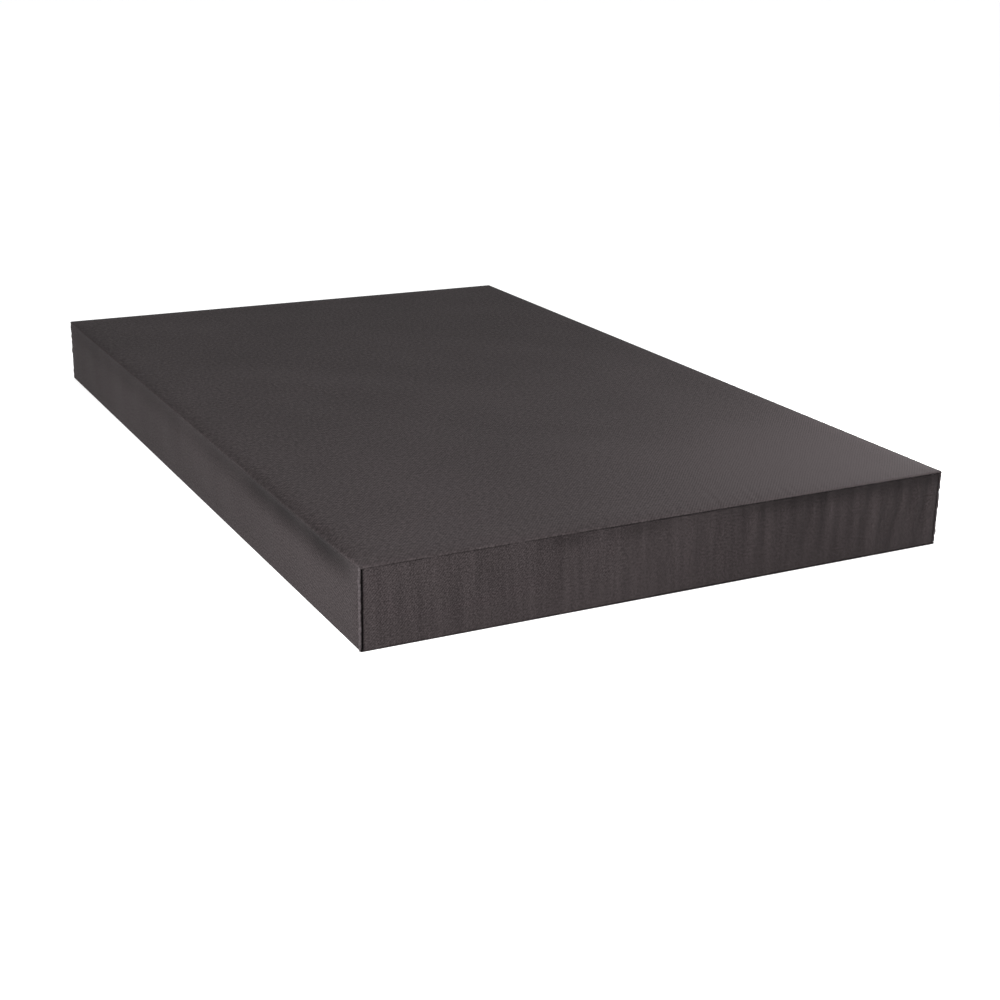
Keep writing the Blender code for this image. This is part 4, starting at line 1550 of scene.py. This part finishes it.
def repeat(name: str, ring: Array, bases: Array, slot: Slot, finishes: Finishes, nodes: list[str],
           loop: bool = False, flip: bool = False) -> None:
    """One small tube copied to many places, as one piece that rides on the back half.

    Args:
        name: the piece's name.
        ring: stations by points by 3, the tube about its own middle.
        bases: copies by 3, where each copy goes.
        slot: its material slot.
        finishes: the materials.
        nodes: the nodes it stands for.
        loop: whether the tube's last station joins its first; otherwise its ends are closed.
        flip: whether to turn its faces round.
    """
    stations, around = ring.shape[:2]
    count = stations * around
    index = np.arange(count).reshape(stations, around)
    after = np.roll(index, -1, axis=1)
    next_index = np.roll(index, -1, axis=0) if loop else index[1:]
    next_after = np.roll(next_index, -1, axis=1)
    here, here_after = (index, after) if loop else (index[:-1], after[:-1])
    sides = np.stack([here, here_after, next_after, next_index], axis=-1).reshape(-1, 4)
    faces = np.concatenate([sides[:, [0, 1, 2]], sides[:, [0, 2, 3]]])
    if not loop:
        caps = [np.stack([np.full(around - 2, row[0]), row[2:], row[1:-1]], axis=1) for row in
                (index[0], index[-1][::-1])]
        faces = np.concatenate([faces, *caps])
    if flip:
        faces = faces[:, ::-1]
    points = (bases[:, None, :] + ring.reshape(1, -1, 3)).reshape(-1, 3)
    copies = (faces[None, :, :] + (np.arange(len(bases)) * count)[:, None, None]).reshape(-1, 3)
    uv = np.column_stack([points[:, 1], points[:, 2]])
    piece = make_mesh(name, points, copies, uv)
    settle(piece, nodes, slot, finishes, Body.BACK)


def sharpen(piece: bpy.types.Object, degrees: float = 40) -> None:
    """Marks edges sharper than this, so that smooth shading stops at them."""
    piece.data.set_sharp_from_angle(angle=np.radians(degrees))


@dataclass
class Filling:
    """What the cover holds: a knitted casing, fibre pads, edge strips, cotton batts and the foam core."""

    size: Size
    finishes: Finishes
    relief: Relief
    step: float = 22 * MM

    def build(self) -> None:
        """Makes every layer from the outside in."""
        for part in ("top", "bottom"):
            self.slab(f"casing_{part}_cloth", [f"casing_{part}_seat", f"casing_{part}_back"], Slot.KNIT, part)
            nodes = [f"fibre_pad_{part}_seat", f"fibre_pad_{part}_back"]
            self.block(f"{part}_fibre_pad", nodes, Slot.PAD, 5 * MM, 0.8 * MM)
            nodes = [f"cotton_batt_{part}_seat", f"cotton_batt_{part}_back"]
            self.block(f"{part}_cotton_batt", nodes, Slot.COTTON, 4 * MM, 0.7 * MM)
        self.block("foam_block", ["foam_core_seat", "foam_core_back"], Slot.FOAM, 1.5 * MM, 0.15 * MM)
        for end in ("front", "rear"):
            nodes = [f"edge_batting_{end}_seat", f"edge_batting_{end}_back"]
            self.block(f"{end}_edge_strip", nodes, Slot.EDGE, 4 * MM, 0.5 * MM)
            self.wall(f"casing_{end}_cloth", [f"casing_border_{end}_seat", f"casing_border_{end}_back"], None)
        for side, body in (("left", Body.SEAT), ("right", Body.BACK)):
            self.block(f"{side}_edge_strip", [f"edge_batting_{side}"], Slot.EDGE, 4 * MM, 0.5 * MM, body)
            self.wall(f"casing_{side}_cloth", [f"casing_border_{side}"], body)

    def span(self, nodes: Sequence[str]) -> tuple[Vector, Vector]:
        """The box round several nodes."""
        boxes = [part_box(node) for node in nodes]
        low = Vector(min(b[0][i] for b in boxes) for i in range(3))
        high = Vector(max(b[1][i] for b in boxes) for i in range(3))
        return low, high

    def block(self, name: str, nodes: list[str], slot: Slot, radius: float, lump: float,
              body: Body | None = None) -> None:
        """A soft block: two faces of lines that roll over at the sides to meet at mid-height, with low lumps.

        Args:
            name: the piece's name.
            nodes: the nodes it stands for, whose box it keeps inside.
            slot: its material slot.
            radius: of its edges.
            lump: how high its unevenness is.
            body: what it rides on, or None where it crosses the fold.
        """
        low, high = self.span(nodes)
        narrow = 7.5 * MM if nodes[0] == "edge_batting_right" else 0.0
        if narrow:
            high.x = low.x + narrow
        angle = np.linspace(0, np.pi / 2, 5)
        inset = radius * (1 - np.cos(angle))
        rise = radius * np.sin(angle)

        def axis(start: float, end: float) -> tuple[Array, Array]:
            """Places along one axis, and their ring numbers."""
            flat = lines(start + radius, end - radius, self.step)
            place = np.concatenate([start + inset[:-1], flat, (end - inset[:-1])[::-1]])
            count = np.arange(len(place))
            return place, np.minimum(np.minimum(count, len(place) - 1 - count), 4)

        x, ring_x = axis(low.x, high.x)
        y, ring_y = axis(low.y, high.y)
        ring = np.minimum(ring_y[:, None], ring_x[None, :])
        grid_x, grid_y = np.meshgrid(x, y)
        seed = len(name)
        uneven = lump * (waves(grid_x + 0.4 * grid_y, (0.13, 0.21, 0.09), seed) *
                         waves(grid_y - 0.3 * grid_x, (0.17, 0.24, 0.11), seed + 1) - 1)
        level = (high.z - low.z) / 2 - radius
        upper = (low.z + high.z) / 2 + level + rise[ring] + np.clip(uneven, -3 * lump, 0) * (ring == 4)
        lower = (low.z + high.z) / 2 - level - rise[ring] - np.clip(uneven, -3 * lump, 0) * (ring == 4)
        outer = np.stack([grid_x, grid_y, upper], axis=-1)
        inner = np.stack([grid_x, grid_y, lower], axis=-1)
        uv = np.stack([grid_x, grid_y], axis=-1)
        piece = shell(name, self.relief.carry(outer), self.relief.carry(inner), uv)
        settle(piece, nodes, slot, self.finishes, body)

    def slab(self, name: str, nodes: list[str], slot: Slot, part: str) -> None:
        """The casing's top or bottom: a knitted sheet rolled down at its four sides like the panel over
        it."""
        low, high = self.span(nodes)
        side = 1 if part == "top" else -1
        radius = high.z - low.z
        angle = np.linspace(0, np.pi / 2, 6)
        inset = radius * (1 - np.cos(angle))
        fall = radius * (1 - np.sin(angle))

        def axis(half: float) -> tuple[Array, Array]:
            """Places along one axis, and their ring numbers."""
            flat = lines(-half + radius, half - radius, self.step)
            place = np.concatenate([inset[:-1] - half, flat, (half - inset[:-1])[::-1]])
            count = np.arange(len(place))
            return place, np.minimum(np.minimum(count, len(place) - 1 - count), 5)

        x, ring_x = axis(high.x)
        y, ring_y = axis(high.y)
        ring = np.minimum(ring_y[:, None], ring_x[None, :])
        grid_x, grid_y = np.meshgrid(x, y)
        top = high.z if side > 0 else low.z
        points = np.stack([grid_x, grid_y, top - side * fall[ring]], axis=-1)
        uv = np.stack([grid_x, grid_y], axis=-1)
        if side < 0:
            points, uv = points[:, ::-1], uv[:, ::-1]
        piece = cloth_sheet(name, self.relief.carry(points), uv, 0.8 * MM)
        settle(piece, nodes, slot, self.finishes, None)

    def wall(self, name: str, nodes: list[str], body: Body | None) -> None:
        """A casing border: a knitted strip that follows the middle of its node's box, or the zip's valley."""
        low, high = self.span(nodes)
        z = lines(low.z, high.z, 8 * MM)
        if body is None:
            side = 1 if high.y > 0 else -1
            run = lines(low.x, high.x, 18 * MM)
            face = (high.y if side > 0 else -low.y) - 0.1 * MM
            y = np.full((len(z), len(run)), side * face)
            points = np.stack(np.broadcast_arrays(run[None, :], y, z[:, None]), axis=-1)
            flip = side > 0
        else:
            side = 1 if body is Body.BACK else -1
            run = lines(low.y, high.y, 18 * MM)
            away = np.abs(z - self.size.middle)
            recess = (high.x - low.x - 0.8 * MM) * (1 - smooth(away, 15 * MM, 30 * MM))
            face = low.x if side < 0 else high.x - recess
            x = np.broadcast_to(np.broadcast_to(face, z.shape)[:, None], (len(z), len(run)))
            points = np.stack(np.broadcast_arrays(x, run[None, :], z[:, None]), axis=-1)
            flip = side < 0
        uv = np.stack(np.meshgrid(run, z), axis=-1)
        if flip:
            points, uv = points[:, ::-1], uv[:, ::-1]
        piece = cloth_sheet(name, self.relief.carry(points), uv, 0.7 * MM)
        settle(piece, nodes, Slot.KNIT, self.finishes, body)


# --------------------------------------------------------------------------------------------------
# Studio
# --------------------------------------------------------------------------------------------------


@dataclass(frozen=True)
class Softbox:
    """A rectangular studio lamp aimed at a point."""

    name: str
    place: tuple[float, float, float]
    aim: tuple[float, float, float]
    width: float
    height: float
    power: float
    colour: Colour = (1.0, 1.0, 1.0)

    def build(self) -> None:
        """Adds the lamp."""
        light = bpy.data.lights.new(self.name, "AREA")
        light.shape = "RECTANGLE"
        light.size = self.width
        light.size_y = self.height
        light.energy = self.power
        light.color = self.colour
        lamp = bpy.data.objects.new(self.name, light)
        lamp.location = self.place
        lamp.rotation_euler = (Vector(self.aim) - Vector(self.place)).to_track_quat("-Z", "Y").to_euler()
        bpy.context.scene.collection.objects.link(lamp)


@dataclass(frozen=True)
class View:
    """The camera: where it stands, which way it looks, and its lens on a 36 mm sensor."""

    place: tuple[float, float, float] = (-1.5418, -3.2138, 1.1034)
    azimuth: float = 27.737
    elevation: float = 18.939
    roll: float = 1.04
    lens: float = 59.42

    def build(self) -> None:
        """Adds the camera. Its forward, right and up come from the azimuth, the elevation and the roll."""
        az, el, roll = np.radians([self.azimuth, self.elevation, self.roll])
        forward = Vector((np.sin(az) * np.cos(el), np.cos(az) * np.cos(el), -np.sin(el)))
        level = forward.cross(Vector((0, 0, 1))).normalized()
        upright = level.cross(forward)
        right = level * np.cos(roll) + upright * np.sin(roll)
        up = right.cross(forward)
        data = bpy.data.cameras.new("camera")
        data.lens = self.lens
        data.sensor_width = 36
        data.clip_start = 0.05
        camera = bpy.data.objects.new("camera", data)
        turn = Matrix((right, up, -forward)).transposed().to_4x4()
        camera.matrix_world = Matrix.Translation(self.place) @ turn
        bpy.context.scene.collection.objects.link(camera)
        bpy.context.scene.camera = camera


@dataclass
class Studio:
    """A plain pale floor, a pale surround and soft lamps."""

    floor_size: float = 240.0
    surround: float = 0.78
    lamps: Sequence[Softbox] = (
        Softbox("right_softbox", (1.55, -0.72, 0.5), (0.5, -0.8, 0.15), 0.7, 0.4, 25.0),
        Softbox("left_softbox", (-2.6, -2.2, 1.3), (-0.5, -0.8, 0.05), 1.2, 0.8, 136.0),
        Softbox("high_left_softbox", (-1.8, -2.6, 2.2), (-0.5, -0.9, 0.1), 1.0, 1.0, 26.0),
        Softbox("front_softbox", (-0.3, -4.2, 0.6), (-0.1, -0.9, 0.1), 1.6, 0.8, 20.0),
    )

    def build(self) -> None:
        """Adds the floor, the surround, the lamps and the camera."""
        self.floor()
        self.world()
        for lamp in self.lamps:
            lamp.build()
        View().build()
        bpy.context.scene.view_settings.view_transform = "Standard"

    def floor(self) -> None:
        """A wide square, a hair below the mattress."""
        half = self.floor_size / 2
        corners = np.array([[-half, -half, 0], [half, -half, 0], [half, half, 0], [-half, half, 0]], float)
        corners[:, 2] = -0.2 * MM
        piece = make_mesh("floor", corners, np.array([[0, 1, 2, 3]]))
        graph = Graph("pale_floor")
        piece.data.materials.append(graph.finish(Base_Color=opaque((0.93, 0.93, 0.93)), Roughness=0.9,
                                                   Emission_Color=opaque((1.0, 1.0, 1.0)),
                                                   Emission_Strength=0.28))

    def world(self) -> None:
        """An even pale surround."""
        world = bpy.data.worlds.new("surround")
        world.use_nodes = True
        background = world.node_tree.nodes["Background"]
        background.inputs["Color"].default_value = (1, 1, 1, 1)
        background.inputs["Strength"].default_value = self.surround
        bpy.context.scene.world = world


def main() -> None:
    """Builds the mattress round the frame."""
    logging.basicConfig(level=logging.INFO, format="%(name)s: %(message)s")
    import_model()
    Studio().build()
    size = Size.read()
    finishes = Finishes()
    settled = Settling(size)
    settled.run()
    relief = Relief(size, settled)
    cover = Cover(size, finishes, relief)
    cover.build()
    ZipSide(size, finishes, cover).build()
    Filling(size, finishes, relief).build()


if __name__ == "__main__":
    main()
